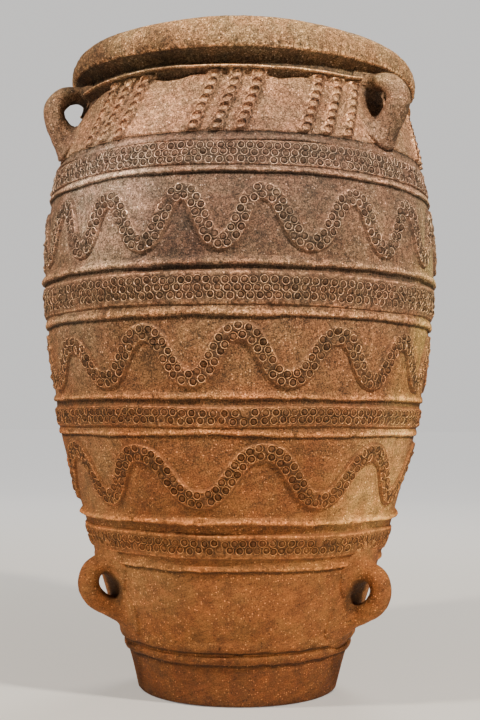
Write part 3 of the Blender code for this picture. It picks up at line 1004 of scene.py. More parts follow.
def slanted_strips(material):
    """All slanted shoulder strips: each a column of cells with a pressed cup, on a straight line
    from (azimuth - turn, low) to (azimuth + turn, high), with flanks that go down into the wall."""
    places = [(group + k * STRIP_STEP, turned) for group, turned in STRIP_GROUPS for k in (-1, 0, 1)]
    azimuth, turned = np.array(places).T
    count = len(azimuth)
    rng = np.random.default_rng(600)
    azimuth = azimuth + np.where(np.arange(count) < FRONT_STRIPS, 0.0, rng.uniform(-0.8, 0.8, count))
    n = STRIP_CUPS
    quarter = np.arange(4 * n + 1) / (4 * n)
    mesh = Mesh()

    def place(share, across, rise):
        """Points at shares of the length and distances across, on every strip at once."""
        z = STRIP_FROM + (STRIP_TO - STRIP_FROM) * share
        middle = np.radians(azimuth[:, None] + turned[:, None] * (2 * share - 1))
        middle = middle + 0.0012 * np.sin(share * 9 + azimuth[:, None])
        height = np.broadcast_to(z, middle.shape)
        return skin(middle + across / wall_radius(z), height, PANEL_PROUD + rise)

    # the cells' boundaries, narrower between two cups and wider at the upper end
    bulge = np.abs(np.sin(quarter * n * np.pi))
    width = STRIP_HALF_WIDTH * (1 + 0.08 * lumps(quarter[None] * 3 + azimuth[:, None], 0.0, 601, 20))
    width = width * (0.70 + 0.36 * bulge) * (1 + 0.60 * smooth(0.92, 1.0, quarter))
    side_rise = STRIP_PROUD * (0.55 + 0.15 * bulge)
    # the left edge paler than the right: painted light from one side
    left = mesh.add(place(quarter[None], -width, side_rise), 0.9)
    right = mesh.add(place(quarter[None], width, side_rise), 0.3)
    middle = mesh.add(place(quarter[None, ::4], 0.0 * quarter[None, ::4], STRIP_PROUD * 0.95), 0.2)
    cell = np.arange(n) * 4
    parts = [
        left[:, cell][..., None],
        middle[:, :-1][..., None],
        np.stack([right[:, cell + k] for k in range(5)], axis=-1),
        middle[:, 1:][..., None],
        np.stack([left[:, cell + k] for k in (4, 3, 2, 1)], axis=-1),
    ]
    previous = np.concatenate(parts, axis=-1)

    # the pressed cups
    half = (STRIP_TO - STRIP_FROM) / n / 2
    along = np.array(CUP_ALONG) * half
    across = np.array(CUP_ACROSS) * STRIP_HALF_WIDTH
    far = np.hypot(along, across)
    centre_share = (np.arange(n) + 0.5) / n
    strength = rng.uniform(0.6, 1.0, (count, n))
    last = np.broadcast_to(np.stack([across, along], axis=-1) / CUP_RADIUS, previous.shape + (2,))
    for level, deep, relief in CUP_LEVELS:
        reach = np.minimum(level * CUP_RADIUS, 0.97 * level * far)
        share = centre_share[:, None] + along / far * reach / (2 * half) / n
        aside = across / far * reach
        crown = STRIP_PROUD * (1.02 - 0.42 * (aside / STRIP_HALF_WIDTH) ** 2)
        rise = crown[None, None] + deep * CUP_DEPTH * strength[..., None]
        points = place(share.reshape(1, -1), np.tile(aside, n)[None], rise.reshape(count, -1))
        new = mesh.add(points.reshape(previous.shape + (3,)), relief * strength[..., None])
        local = np.broadcast_to(np.stack([aside, along / far * reach], axis=-1) / CUP_RADIUS, last.shape)
        mesh.rings(previous, new, last, local)
        previous = new
        last = local
    rise = STRIP_PROUD * 1.02 - CUP_DEPTH * strength
    centre = mesh.add(place(centre_share[None], 0.0 * centre_share[None], rise), -0.3)
    mesh.cap(previous, centre[..., None], last)

    # the flanks, and a skin inside the wall that closes each strip
    loop = np.concatenate([right, middle[:, -1:], left[:, ::-1], middle[:, :1]], axis=1)
    share = np.concatenate([quarter, [1.0], quarter[::-1], [0.0]])
    sideways = np.concatenate([width, 0 * width[:, :1], -width[:, ::-1], 0 * width[:, :1]], axis=1)
    push = np.concatenate([np.ones(4 * n + 1), [0.0], -np.ones(4 * n + 1), [0.0]])
    ends = np.where(share == 1.0, 1, np.where(share == 0.0, -1, 0)) / (STRIP_TO - STRIP_FROM)
    # the left foot is lightened and the right one darkened: painted light and shade from one side
    for out, level, pale, dark in STRIP_FOOT:
        points = place((share + 0.4 * ends * out)[None], sideways + push * out, STRIP_PROUD * level)
        foot = mesh.add(points, np.where(push < 0, pale, dark))
        mesh.face(np.stack([foot, np.roll(foot, -1, 1), np.roll(loop, -1, 1), loop], axis=-1))
        loop = foot
    heart = mesh.add(place(np.array([[0.5]]), np.array([[0.0]]), -0.004), -1.0)
    mesh.face(np.stack([np.roll(foot, -1, 1), foot, np.broadcast_to(heart, foot.shape)], axis=-1))
    return mesh.finish("slanted_strips", material)


def handle_piece(name, azimuth, drop, line, blend, spread, material):
    """A thick loop that grows out of the wall.

    The loop is a section of half thickness and half width carried along its middle line. Its
    surface is where the smooth least of two distances is nought: to the loop and to the wall,
    min(a, b) - k/4 max(0, 1 - |a - b|/k)^2. Points of a first guess, sections of the loop and at
    each root a skirt that runs out over the wall, are moved onto it along its slope.
    """
    line = np.array(line) - [0.0, drop, 0.0, 0.0]
    reach = np.concatenate([[0], np.cumsum(np.linalg.norm(np.diff(line[:, :2], axis=0), axis=1))])
    fine = through(np.column_stack([reach, line]), np.linspace(0, reach[-1], SPINE_POINTS))
    radius, height, thick, wide = fine.T
    level = np.zeros(SPINE_POINTS)
    spine = np.stack([radius, level, height], axis=-1)
    step = np.gradient(spine, axis=0)
    step /= np.linalg.norm(step, axis=1)[:, None]
    out = np.stack([-step[:, 2], level, step[:, 0]], axis=-1)
    turn = np.radians(azimuth)

    def around(points):
        """Azimuths of points that are given as outwards, sideways and height."""
        return turn + np.arctan2(points[..., 1], points[..., 0])

    def wall(points):
        """Distance outside the uneven wall."""
        height = points[..., 2]
        ledge = BANDS["band_1"].proud * smooth(0.937, 0.926, height)
        lowered = GROOVE_LOW - groove_edge(around(points))
        level = np.minimum(height + lowered, np.maximum(height, GROOVE_TOP))
        level = np.where(height > 0.95, level, height)
        stand = np.interp(level, *np.array(ROOT_WALL).T) + ledge - HANDLE_SINK
        radius = np.hypot(points[..., 0], points[..., 1])
        return radius - wall_radius(height) - uneven(around(points), height) - stand

    def loop(points):
        """Distance outside the loop, read from the nearest section."""
        gap = points[:, None, :] - spine[None, :, :]
        near = (gap**2).sum(axis=-1).argmin(axis=1)
        away = points - spine[near]
        sideways = away[:, 1] / wide[near]
        across = (away * out[near]).sum(axis=-1) / thick[near]
        ahead = (away * step[near]).sum(axis=-1) / thick[near]
        length = np.sqrt(sideways**2 + across**2 + ahead**2)
        return (length - 1) * np.minimum(thick, wide)[near]

    def surface(points):
        """Distance outside the loop and the wall, smoothly joined and a little lumpy."""
        flat = points.reshape(-1, 3)
        a = loop(flat)
        b = wall(flat)
        value = np.minimum(a, b) - blend / 4 * np.clip(1 - np.abs(a - b) / blend, 0, None) ** 2
        lump = 0.0005 * lumps(flat[:, 1] * 9 + turn, flat[:, 2] + flat[:, 0], 700, 160, 0.014)
        return (value + lump * (b > CLEAR_OF_WALL)).reshape(points.shape[:-1])

    def skirt(ring, root):
        """Rings from the wall around a root to the loop's end section."""
        away = ring - ring.mean(axis=0)
        up = away[:, 2] + away[:, 0] * 0.2
        side = away[:, 1]
        far = np.hypot(up, side)
        height = spine[root][2] + up / far * (far * 0.9 + spread)
        sideways = side / far * (far * 0.9 + spread)
        radius = wall_radius(height)
        foot = np.stack([np.sqrt(np.maximum(radius**2 - sideways**2, 0)), sideways, height], axis=-1)
        share = SKIRT_SHARES[:, None, None]
        bow = SKIRT_SHARES[:, None] ** 1.6
        guess = foot * (1 - share) + ring * share
        guess[..., 0] = foot[:, 0] * (1 - bow) + ring[:, 0] * bow
        return guess

    angle = np.arange(HANDLE_SIDES) * TAU / HANDLE_SIDES
    clear = np.where(wall(spine) > CLEAR_OF_WALL)[0]
    picks = np.linspace(clear[0], clear[-1], HANDLE_RINGS).round().astype(int)
    tube = (
        spine[picks][:, None]
        + out[picks][:, None] * np.cos(angle)[None, :, None] * thick[picks][:, None, None]
        + np.array([0.0, 1.0, 0.0]) * np.sin(angle)[None, :, None] * wide[picks][:, None, None]
    )
    points = np.concatenate([skirt(tube[0], clear[0]), tube, skirt(tube[-1], clear[-1])[::-1]])
    for _ in range(ROUNDS):
        value = surface(points)
        sides = SLOPE_STEP * np.eye(3)
        slope = np.stack([surface(points + side) - surface(points - side) for side in sides], axis=-1)
        slope /= 2 * SLOPE_STEP
        size = np.clip((slope**2).sum(axis=-1), 0.25, None)
        move = np.clip(slope * (value / size)[..., None], -ROUND_LIMIT, ROUND_LIMIT)
        points[1:-1] -= move[1:-1]
    for k, tuck in enumerate(SKIRT_TUCK):
        points[k, :, 0] -= tuck
        points[-1 - k, :, 0] -= tuck

    place = on_jar(around(points), np.hypot(points[..., 0], points[..., 1]), points[..., 2])
    share = np.concatenate([SKIRT_SHARES, np.ones(len(tube)), SKIRT_SHARES[::-1]])[:, None]
    # painted shade on the loop's inner side, which faces the wall, and on the wall near the roots
    inner = share * np.clip(-np.cos(angle), 0, 1) ** 1.2
    near = smooth(0.030, 0.004, wall(points))
    relief = np.clip(hollow_shade(around(points), points[..., 2]) * near - 0.85 * inner, -HOLLOW_SHADE_RELIEF, 0)
    mesh = Mesh()
    ids = mesh.add(place, relief)
    mesh.face(net(ids)[..., ::-1])
    for end, facing in ((0, True), (-1, False)):
        heart = place[end].mean(axis=0) * [0.97, 0.97, 1.0]
        centre = mesh.add([heart], -1.0)[0]
        mesh.face(fan(centre, ids[end], out=facing))
    return mesh.finish(name, material)


# Colour of the clay against height: share of the height, linear colour. The lowest stops darken
# the foot's bottom as a painted contact shadow.
CLAY_BY_HEIGHT = (
    (0.000, (0.135, 0.050, 0.016)),
    (0.016, (0.188, 0.062, 0.017)),
    (0.070, (0.210, 0.072, 0.020)),
    (0.110, (0.305, 0.112, 0.030)),
    (0.270, (0.300, 0.110, 0.031)),
    (0.360, (0.258, 0.096, 0.030)),
    (0.420, (0.243, 0.097, 0.034)),
    (0.540, (0.238, 0.112, 0.049)),
    (0.640, (0.205, 0.113, 0.064)),
    (0.760, (0.212, 0.123, 0.078)),
    (0.835, (0.205, 0.118, 0.076)),
    (0.915, (0.222, 0.128, 0.078)),
    (0.930, (0.240, 0.150, 0.082)),
    (0.944, (0.235, 0.148, 0.080)),
    (0.954, (0.315, 0.178, 0.088)),
    (1.000, (0.315, 0.178, 0.082)),
)

# Broad stains, one of them painted shade on the rim's left side: middle, reach, and the tint
# that multiplies the clay's colour
STAINS = (
    ((0.03, -0.34, 0.850), 0.230, (0.66, 0.66, 0.70)),
    ((-0.106, -0.338, 0.745), 0.090, (0.62, 0.62, 0.68)),
    ((-0.23, -0.255, 0.815), 0.150, (1.80, 2.10, 2.45)),
    ((-0.27, -0.20, 0.600), 0.120, (1.10, 1.28, 1.50)),
    ((0.24, -0.18, 0.390), 0.150, (1.95, 2.70, 2.95)),
    ((-0.24, -0.17, 0.390), 0.120, (1.15, 1.40, 1.70)),
    ((-0.16, -0.18, 0.220), 0.110, (1.25, 1.45, 1.70)),
    ((0.12, -0.25, 0.250), 0.090, (1.12, 1.25, 1.20)),
    # painted shade on the rim's left side
    ((-0.27, -0.15, 1.115), 0.160, (0.54, 0.51, 0.49)),
    ((-0.14, -0.285, 1.078), 0.060, (0.60, 0.55, 0.52)),
    ((0.30, -0.22, 0.985), 0.080, (0.60, 0.66, 0.62)),
    ((0.335, -0.11, 0.800), 0.100, (1.25, 1.40, 1.25)),
    ((0.335, -0.13, 0.690), 0.120, (1.35, 1.55, 1.30)),
    ((0.315, -0.14, 0.550), 0.120, (1.45, 1.65, 1.35)),
    ((-0.145, -0.296, 0.950), 0.075, (1.28, 1.28, 1.30)),
)

# Cracks in the belly, each a straight line from one point to another
CRACKS = (
    ((0.2249, -0.2708, 0.6600), (0.2589, -0.2335, 0.6185)),
    ((0.2924, -0.1960, 0.6500), (0.3092, -0.1680, 0.6830)),
)

# Noises: scale, detail, roughness
NOISES = {
    "drift": (5.0, 3.0, 0.5),
    "pale cloud": (4.2, 4.0, 0.55),
    "dark cloud": (9.0, 6.0, 0.62),
    "mottle": (46.0, 5.0, 0.65),
    "hue": (24.0, 6.0, 0.68),
    "sand": (430.0, 3.0, 0.80),
    "grain": (150.0, 4.0, 0.72),
    "streak": (1.0, 4.0, 0.7),
    "wipe": (4.0, 4.0, 0.6),
    "bunch": (9.0, 3.0, 0.6),
    "coarse": (85.0, 5.0, 0.6),
    "ragged": (260.0, 3.0, 0.6),
}
GRIT_SCALE = 290.0
DARK_CLOUD_STRETCH = (1.0, 1.0, 1.7)
STREAK_STRETCH = (9.0, 9.0, 330.0)
STREAK_SLANT = (0.0, 0.42, 0.0)
WIPE_STRETCH = (2.2, 2.2, 75.0)

# How far a noise moves what it makes ragged, from end to end
SWAYS = {
    "drift": 0.060,
    "crack": 0.006,
    "crest": 2.6,
    "bunch": 0.7,
    "ring": 0.16,
}
# A stain's edge: how many times the drift it strays, and the share of its reach that is full
STAIN_DRIFT = 2.2
STAIN_CORE = 0.35

# Masks: the two values that are mapped smoothly onto 0 and 1, or onto the two numbers that follow
MASKS = {
    "panel from": (0.9338, 0.9362),
    "panel to": (1.052, 1.044),
    "pale cloud": (0.50, 0.72),
    "dark cloud": (0.50, 0.70),
    "cloudy": (0.15, 0.40, 0.25, 0.55),
    "mottle": (0.30, 0.70, 0.72, 1.28),
    "hue": (0.40, 0.60),
    "sand": (0.36, 0.64, 0.30, 1.80),
    "sandy": (0.20, 0.46, 0.50, 1.0),
    "grain": (0.38, 0.62, 0.55, 1.52),
    "grainy": (0.35, 0.60, 0.12, 0.75),
    "streak": (0.36, 0.64, 0.66, 1.36),
    "crack": (0.0026, 0.0010),
    "wiped": (0.50, 0.68, 0.0, 0.42),
    "hollow": (-0.05, -0.95),
    "crest": (0.35, 1.15),
    "dot": (0.46, 0.26),
    "gritty rim": (0.940, 0.965, 0.0, 0.12),
    "pale speck": (0.84, 0.88),
    "pit": (0.86, 0.90),
    "roughness": (0.3, 0.7, 0.74, 0.92),
    "groove from": (0.48, 0.62),
    "groove to": (0.79, 0.70),
    "painted shade on groove low side": (0.45, -0.35, 0.35, 1.0),
    "lip from": (0.76, 0.84),
    "lip to": (0.98, 0.90),
    "outline from": (0.93, 1.02),
    "outline to": (1.20, 1.06),
    "disc": (0.60, 0.50),
    "disc tone": (0.0, 1.0, 0.05, 0.60),
    "ring dirt and shade": (0.30, 0.66, 0.48, 0.90),
    "rubbed and lit lip": (0.30, 0.66, 0.50, 0.95),
    "cup wall from": (0.62, 0.88),
    "cup wall to": (1.18, 1.04),
    "cup middle": (0.84, 0.60),
    "cup shaded side": (-0.65, 0.75, 0.30, 0.90),
    "cup lit side": (0.40, -0.45, 0.10, 0.75),
    "floor glow": (0.2, 5.0, 0.25, 0.98),
}

# Tints that multiply the clay's colour, and how much of each shows where its mask is 1
TINTS = {
    "panel": ((1.72, 1.60, 1.42), 1.0),
    "pale cloud": ((1.32, 1.36, 1.30), 0.42),
    "dark cloud": ((0.62, 0.60, 0.60), 1.0),
    "crack": ((0.30, 0.27, 0.25), 0.75),
    "wiped": ((1.45, 1.42, 1.40), 1.0),
    # dust and painted shade in hollows
    "dust and painted shade": ((0.17, 0.192, 0.190), 0.72),
    # wear and a painted highlight on crests
    "crest": ((2.5, 2.4, 2.25), 0.85),
    "pale speck": ((2.8, 3.2, 3.7), 0.85),
    "pit": ((0.35, 0.33, 0.32), 0.65),
    "ring clay": ((0.92, 0.92, 0.96), 1.0),
    # dirt and painted shade on the discs
    "disc": ((0.60, 0.58, 0.56), 1.0),
    # dirt and painted shade in grooves and outlines
    "groove": ((0.20, 0.18, 0.17), 1.0),
    # wear and a painted highlight on the lips
    "lip": ((4.8, 5.3, 5.5), 1.0),
    "cup shade": ((0.28, 0.24, 0.22), 1.0),
    "cup light": ((1.9, 1.9, 1.8), 1.0),
}
PINK_TINGE = (1.05, 0.97, 0.96)
OLIVE_TINGE = (0.96, 1.02, 1.02)
STREAK_SHARE = 0.35
# painted shade in the outline round a ring, as a share of the groove's
OUTLINE_SHARE = 0.7
RING_RELIEF = 0.9
CUP_DARK_SIDE = (0.6, 0.8, 0.0)
CLAY_SHINE = 0.35
# How far each part of the clay's surface stands up, in metres
CLAY_HEIGHTS = {
    "coarse": 0.0013,
    "sand": 0.0011,
    "wipe": 0.0006,
    "streak": 0.0004,
    "pit": -0.0011,
    "speck": 0.0005,
}
RING_HEIGHTS = {"lip": 0.0005, "groove": -0.0013, "outline": -0.0006}


class Nodes:
    """Makes shader nodes in one node tree. An item is a socket of another node or a value."""

    def __init__(self, tree):
        self.tree = tree

    def feed(self, socket, item):
        """Links an item to an input, or sets it there."""
        if hasattr(item, "links"):
            self.tree.links.new(item, socket)
        elif socket.type == "RGBA":
            socket.default_value = (*item, 1.0)
        else:
            socket.default_value = item

    def node(self, kind, **values):
        """A node with its own settings and, by socket name, the items for its inputs."""
        new = self.tree.nodes.new("ShaderNode" + kind)
        for key, value in values.items():
            if key in new.inputs:
                self.feed(new.inputs[key], value)
            else:
                setattr(new, key, value)
        return new

    def math(self, operation, *items):
        """The result of a Math node on one or two items."""
        new = self.node("Math", operation=operation)
        for socket, item in zip(new.inputs, items):
            self.feed(socket, item)
        return new.outputs[0]

    def chain(self, operation, items):
        """One item after another joined to the first by Math nodes."""
        total = items[0]
        for item in items[1:]:
            total = self.math(operation, total, item)
        return total

    def times(self, *items):
        """The items' product."""
        return self.chain("MULTIPLY", items)

    def plus(self, *items):
        """The items' sum."""
        return self.chain("ADD", items)

    def sway(self, name, noise):
        """A noise moved to lie around nought, and as large as the table of sways says."""
        return self.times(self.math("SUBTRACT", noise, 0.5), SWAYS[name])

    def vector(self, operation, *items):
        """The number that a Vector Math node makes of one or two vectors."""
        new = self.node("VectorMath", operation=operation)
        for socket, item in zip(new.inputs, items):
            self.feed(socket, item)
        return new.outputs["Value"]

    def remap(self, value, low, high, to_low=0.0, to_high=1.0):
        """Maps low..high smoothly onto to_low..to_high."""
        new = self.node("MapRange", interpolation_type="SMOOTHSTEP", Value=value)
        for name, item in (("From Min", low), ("From Max", high), ("To Min", to_low), ("To Max", to_high)):
            self.feed(new.inputs[name], item)
        return new.outputs[0]

    def mask(self, name, value):
        """A value mapped as the table of masks says."""
        return self.remap(value, *MASKS[name])

    def noise(self, name, place):
        """A noise of the table, read at a place."""
        scale, detail, rough = NOISES[name]
        new = self.node("TexNoise", Vector=place, Scale=scale, Detail=detail, Roughness=rough)
        return new.outputs["Fac"]

    def stretched(self, place, scale):
        """A place in a space that is scaled along its axes."""
        return self.node("Mapping", Vector=place, Scale=scale).outputs["Vector"]

    def mix(self, share, a, b, mode="MIX"):
        """Colour a moved towards b, or towards a times b, by a share."""
        new = self.node("Mix", data_type="RGBA", blend_type=mode, clamp_factor=True)
        for k, item in ((0, share), (6, a), (7, b)):
            self.feed(new.inputs[k], item)
        return new.outputs[2]

    def tint(self, share, colour, tint):
        """A colour multiplied by a tint as far as a share says."""
        return self.mix(share, colour, tint, "MULTIPLY")

    def stain(self, mask, colour, name):
        """A colour multiplied, where a mask says, by a tint of the table."""
        tint, share = TINTS[name]
        return self.tint(mask if share == 1.0 else self.times(mask, share), colour, tint)

    def heights(self, table, parts):
        """The sum of some parts, each times its height in a table."""
        return self.plus(*[self.times(part, table[name]) for name, part in parts.items()])

    def shade(self, share, colour, name, value):
        """A colour made lighter and darker by a value, mapped as the table of masks says."""
        level = self.mask(name, value)
        grey = self.node("CombineColor", Red=level, Green=level, Blue=level)
        return self.tint(share, colour, grey.outputs[0])

    def own_place(self):
        """The point's place in the object's own space."""
        return self.node("TexCoord").outputs["Object"]

    def arrange(self):
        """Puts every node in a column to the left of all nodes that it feeds."""
        column = {node.name: 0 for node in self.tree.nodes}
        wires = [(link.from_node.name, link.to_node.name) for link in self.tree.links]
        moved = True
        while moved:
            moved = False
            for source, target in wires:
                if column[source] <= column[target]:
                    column[source] = column[target] + 1
                    moved = True
        filled = {}
        for node in self.tree.nodes:
            k = column[node.name]
            node.location = (-200 * k, -300 * filled.get(k, 0))
            filled[k] = filled.get(k, 0) + 1


def group(name, inputs, outputs):
    """A new node group with named numbers going in and named results coming out; gives its
    nodes, the sockets of its inputs and a function that links the results and arranges it."""
    tree = bpy.data.node_groups.new(name, "ShaderNodeTree")
    for label, value in inputs.items():
        socket = tree.interface.new_socket(name=label, in_out="INPUT", socket_type="NodeSocketFloat")
        socket.default_value = value
    for label in outputs:
        kind = "NodeSocketColor" if label == "Color" else "NodeSocketFloat"
        tree.interface.new_socket(name=label, in_out="OUTPUT", socket_type=kind)
    nodes = Nodes(tree)
    start = tree.nodes.new("NodeGroupInput")
    end = tree.nodes.new("NodeGroupOutput")

    def close(*results):
        for label, result in zip(outputs, results):
            nodes.feed(end.inputs[label], result)
        nodes.arrange()
        return tree

    return nodes, start.outputs, close


def crack_mask(nodes, place, wobble, start, end):
    """1 on a thin line between two points: a smooth step of the distance to the line, kept
    between its ends."""
    start = np.array(start)
    along = np.array(end) - start
    length = float(np.linalg.norm(along))
    along = along / length
    away = nodes.node("VectorMath", operation="SUBTRACT", Vector=place)
    away.inputs[1].default_value = start
    reach = nodes.vector("DOT_PRODUCT", away.outputs["Vector"], along)
    foot = nodes.node("VectorMath", operation="SCALE", Vector=along, Scale=reach).outputs["Vector"]
    far = nodes.plus(nodes.vector("DISTANCE", away.outputs["Vector"], foot), wobble)
    off_middle = nodes.math("ABSOLUTE", nodes.math("SUBTRACT", reach, length / 2))
    ends = nodes.remap(off_middle, length / 2 + 0.001, length / 2 - 0.004)
    return nodes.times(nodes.mask("crack", far), ends)


def clay_group():
    """Weathered fired clay: its colour by height, then panel, stains, clouds, tints, grains,
    streaks, cracks, wipe marks, dust and painted shade in hollows, rubbed crests with painted
    highlights and grit, one over another, with its roughness and the height of its surface in
    metres."""
    # the Dust amount sets how strongly hollows take dust and painted shade and crests wear and painted
    # highlights
    amounts = {"Relief": 0.0, "Patches": 1.0, "Dust and painted light": 1.0, "Grit": 1.0, "Panel": 1.0, "Stains": 1.0}
    nodes, given, close = group("Weathered Clay", amounts, ("Color", "Roughness", "Height"))
    place = nodes.own_place()
    z = nodes.node("SeparateXYZ", Vector=place).outputs["Z"]
    drift = nodes.sway("drift", nodes.noise("drift", place))
    height = nodes.plus(nodes.math("DIVIDE", z, HEIGHT), drift)
    ramp = nodes.node("ValToRGB", Fac=height)
    stops = ramp.color_ramp.elements
    for stop, (share, colour) in zip(stops, (CLAY_BY_HEIGHT[0], CLAY_BY_HEIGHT[-1])):
        stop.position = share
        stop.color = (*colour, 1.0)
    for share, colour in CLAY_BY_HEIGHT[1:-1]:
        stops.new(share).color = (*colour, 1.0)
    panel = nodes.times(nodes.mask("panel from", z), nodes.mask("panel to", z), given["Panel"])
    colour = nodes.stain(panel, ramp.outputs[0], "panel")
    for centre, reach, tint in STAINS:
        ragged = nodes.plus(nodes.vector("DISTANCE", place, centre), nodes.times(drift, STAIN_DRIFT))
        share = nodes.times(nodes.remap(ragged, reach, STAIN_CORE * reach), given["Stains"])
        colour = nodes.tint(share, colour, tint)

    pale = nodes.mask("pale cloud", nodes.noise("pale cloud", place))
    colour = nodes.stain(nodes.times(pale, given["Patches"]), colour, "pale cloud")
    dark = nodes.mask("dark cloud", nodes.noise("dark cloud", nodes.stretched(place, DARK_CLOUD_STRETCH)))
    dark = nodes.times(dark, nodes.mask("cloudy", height), given["Patches"])
    colour = nodes.stain(dark, colour, "dark cloud")
    mottle = nodes.noise("mottle", place)
    colour = nodes.shade(1.0, colour, "mottle", mottle)
    hue = nodes.mask("hue", nodes.noise("hue", place))
    colour = nodes.tint(given["Patches"], colour, nodes.mix(hue, PINK_TINGE, OLIVE_TINGE))
    sand = nodes.noise("sand", place)
    colour = nodes.shade(nodes.times(given["Grit"], nodes.mask("sandy", height)), colour, "sand", sand)
    grain = nodes.noise("grain", place)
    colour = nodes.shade(nodes.mask("grainy", height), colour, "grain", grain)
    turned = nodes.node("Mapping", Vector=place, Rotation=STREAK_SLANT).outputs["Vector"]
    streak = nodes.noise("streak", nodes.stretched(turned, STREAK_STRETCH))
    colour = nodes.shade(STREAK_SHARE, colour, "streak", streak)
    for start, end in CRACKS:
        crack = crack_mask(nodes, place, nodes.sway("crack", mottle), start, end)
        colour = nodes.stain(crack, colour, "crack")
    wipe = nodes.noise("wipe", nodes.stretched(place, WIPE_STRETCH))
    colour = nodes.stain(nodes.mask("wiped", wipe), colour, "wiped")

    # dust and painted shade in hollows
    hollow = nodes.mask("hollow", given["Relief"])
    colour = nodes.stain(nodes.times(hollow, given["Dust and painted light"]), colour, "dust and painted shade")
    # wear and painted highlights on crests
    crest = nodes.mask("crest", nodes.plus(given["Relief"], nodes.sway("crest", grain)))
    colour = nodes.stain(nodes.times(crest, given["Dust and painted light"]), colour, "crest")
    grains = nodes.node("TexVoronoi", Vector=place, Scale=GRIT_SCALE, Randomness=1.0)
    kind = nodes.node("SeparateColor", Color=grains.outputs["Color"]).outputs
    dot = nodes.mask("dot", grains.outputs["Distance"])
    bunch = nodes.sway("bunch", nodes.noise("bunch", place))
    more = nodes.plus(nodes.mask("gritty rim", height), bunch)
    speck = nodes.times(dot, nodes.mask("pale speck", nodes.plus(kind[0], more)), given["Grit"])
    pit = nodes.times(dot, nodes.mask("pit", nodes.plus(kind[1], more)), given["Grit"])
    colour = nodes.stain(speck, colour, "pale speck")
    colour = nodes.stain(pit, colour, "pit")

    parts = {"coarse": nodes.noise("coarse", place), "sand": sand, "wipe": wipe}
    parts.update({"streak": streak, "pit": pit, "speck": speck})
    return close(colour, nodes.mask("roughness", mottle), nodes.heights(CLAY_HEIGHTS, parts))


def stamp_group():
    """Masks and height of a stamped ring, from the distance of the stamp's own coordinates: the
    groove, stronger on its low side as painted shade, the raised lip, the disc and the outline,
    all weaker on a worn stamp."""
    results = ("Groove", "Lip", "Disc", "Outline", "Tone", "Height")
    nodes, given, close = group("Stamped Ring", {"Sharpness": 1.0}, results)
    own = nodes.node("UVMap", uv_map="stamp").outputs[0]
    wear = nodes.node("SeparateXYZ", Vector=nodes.node("UVMap", uv_map="wear").outputs[0]).outputs
    strength, tone, _ = wear
    ragged = nodes.sway("ring", nodes.noise("ragged", nodes.own_place()))
    far = nodes.plus(nodes.vector("LENGTH", own), ragged)
    # painted shade on the groove's low side
    shaded_low_side = nodes.mask("painted shade on groove low side", nodes.node("SeparateXYZ", Vector=own).outputs["Y"])
    groove = nodes.times(nodes.mask("groove from", far), nodes.mask("groove to", far), strength, shaded_low_side)
    lip = nodes.times(nodes.mask("lip from", far), nodes.mask("lip to", far), strength)
    outline = nodes.times(nodes.mask("outline from", far), nodes.mask("outline to", far), strength)
    disc = nodes.times(nodes.mask("disc", far), strength)
    height = nodes.heights(RING_HEIGHTS, {"lip": lip, "groove": groove, "outline": outline})
    return close(groove, lip, disc, outline, tone, nodes.times(height, given["Sharpness"]))


def cup_marks(nodes, colour):
    """Darkens the shaded upper side of a pressed cup and lightens the lower side of its middle."""
    own = nodes.node("UVMap", uv_map="stamp").outputs[0]
    far = nodes.vector("LENGTH", own)
    slant = nodes.vector("DOT_PRODUCT", own, CUP_DARK_SIDE)
    wall = nodes.times(nodes.mask("cup wall from", far), nodes.mask("cup wall to", far))
    colour = nodes.stain(nodes.times(nodes.mask("cup shaded side", slant), wall), colour, "cup shade")
    light = nodes.times(nodes.mask("cup lit side", slant), nodes.mask("cup middle", far))
    return nodes.stain(light, colour, "cup light")


def ring_marks(nodes, ring, colour):
    """Darkens the discs, grooves and outlines of stamped rings with dirt and painted shade and
    lightens their lips with wear and a painted highlight, less low down.
    """
    z = nodes.node("SeparateXYZ", Vector=nodes.own_place()).outputs["Z"]
    # how strongly discs and grooves take dirt and painted shade, by height
    soiled = nodes.mask("ring dirt and shade", z)
    colour = nodes.stain(1.0, colour, "ring clay")
    disc = nodes.times(ring["Disc"], nodes.mask("disc tone", ring["Tone"]), soiled)
    colour = nodes.stain(disc, colour, "disc")
    groove = nodes.math("MAXIMUM", ring["Groove"], nodes.times(ring["Outline"], OUTLINE_SHARE))
    colour = nodes.stain(nodes.times(groove, soiled), colour, "groove")
    return nodes.stain(nodes.times(ring["Lip"], nodes.mask("rubbed and lit lip", z)), colour, "lip")


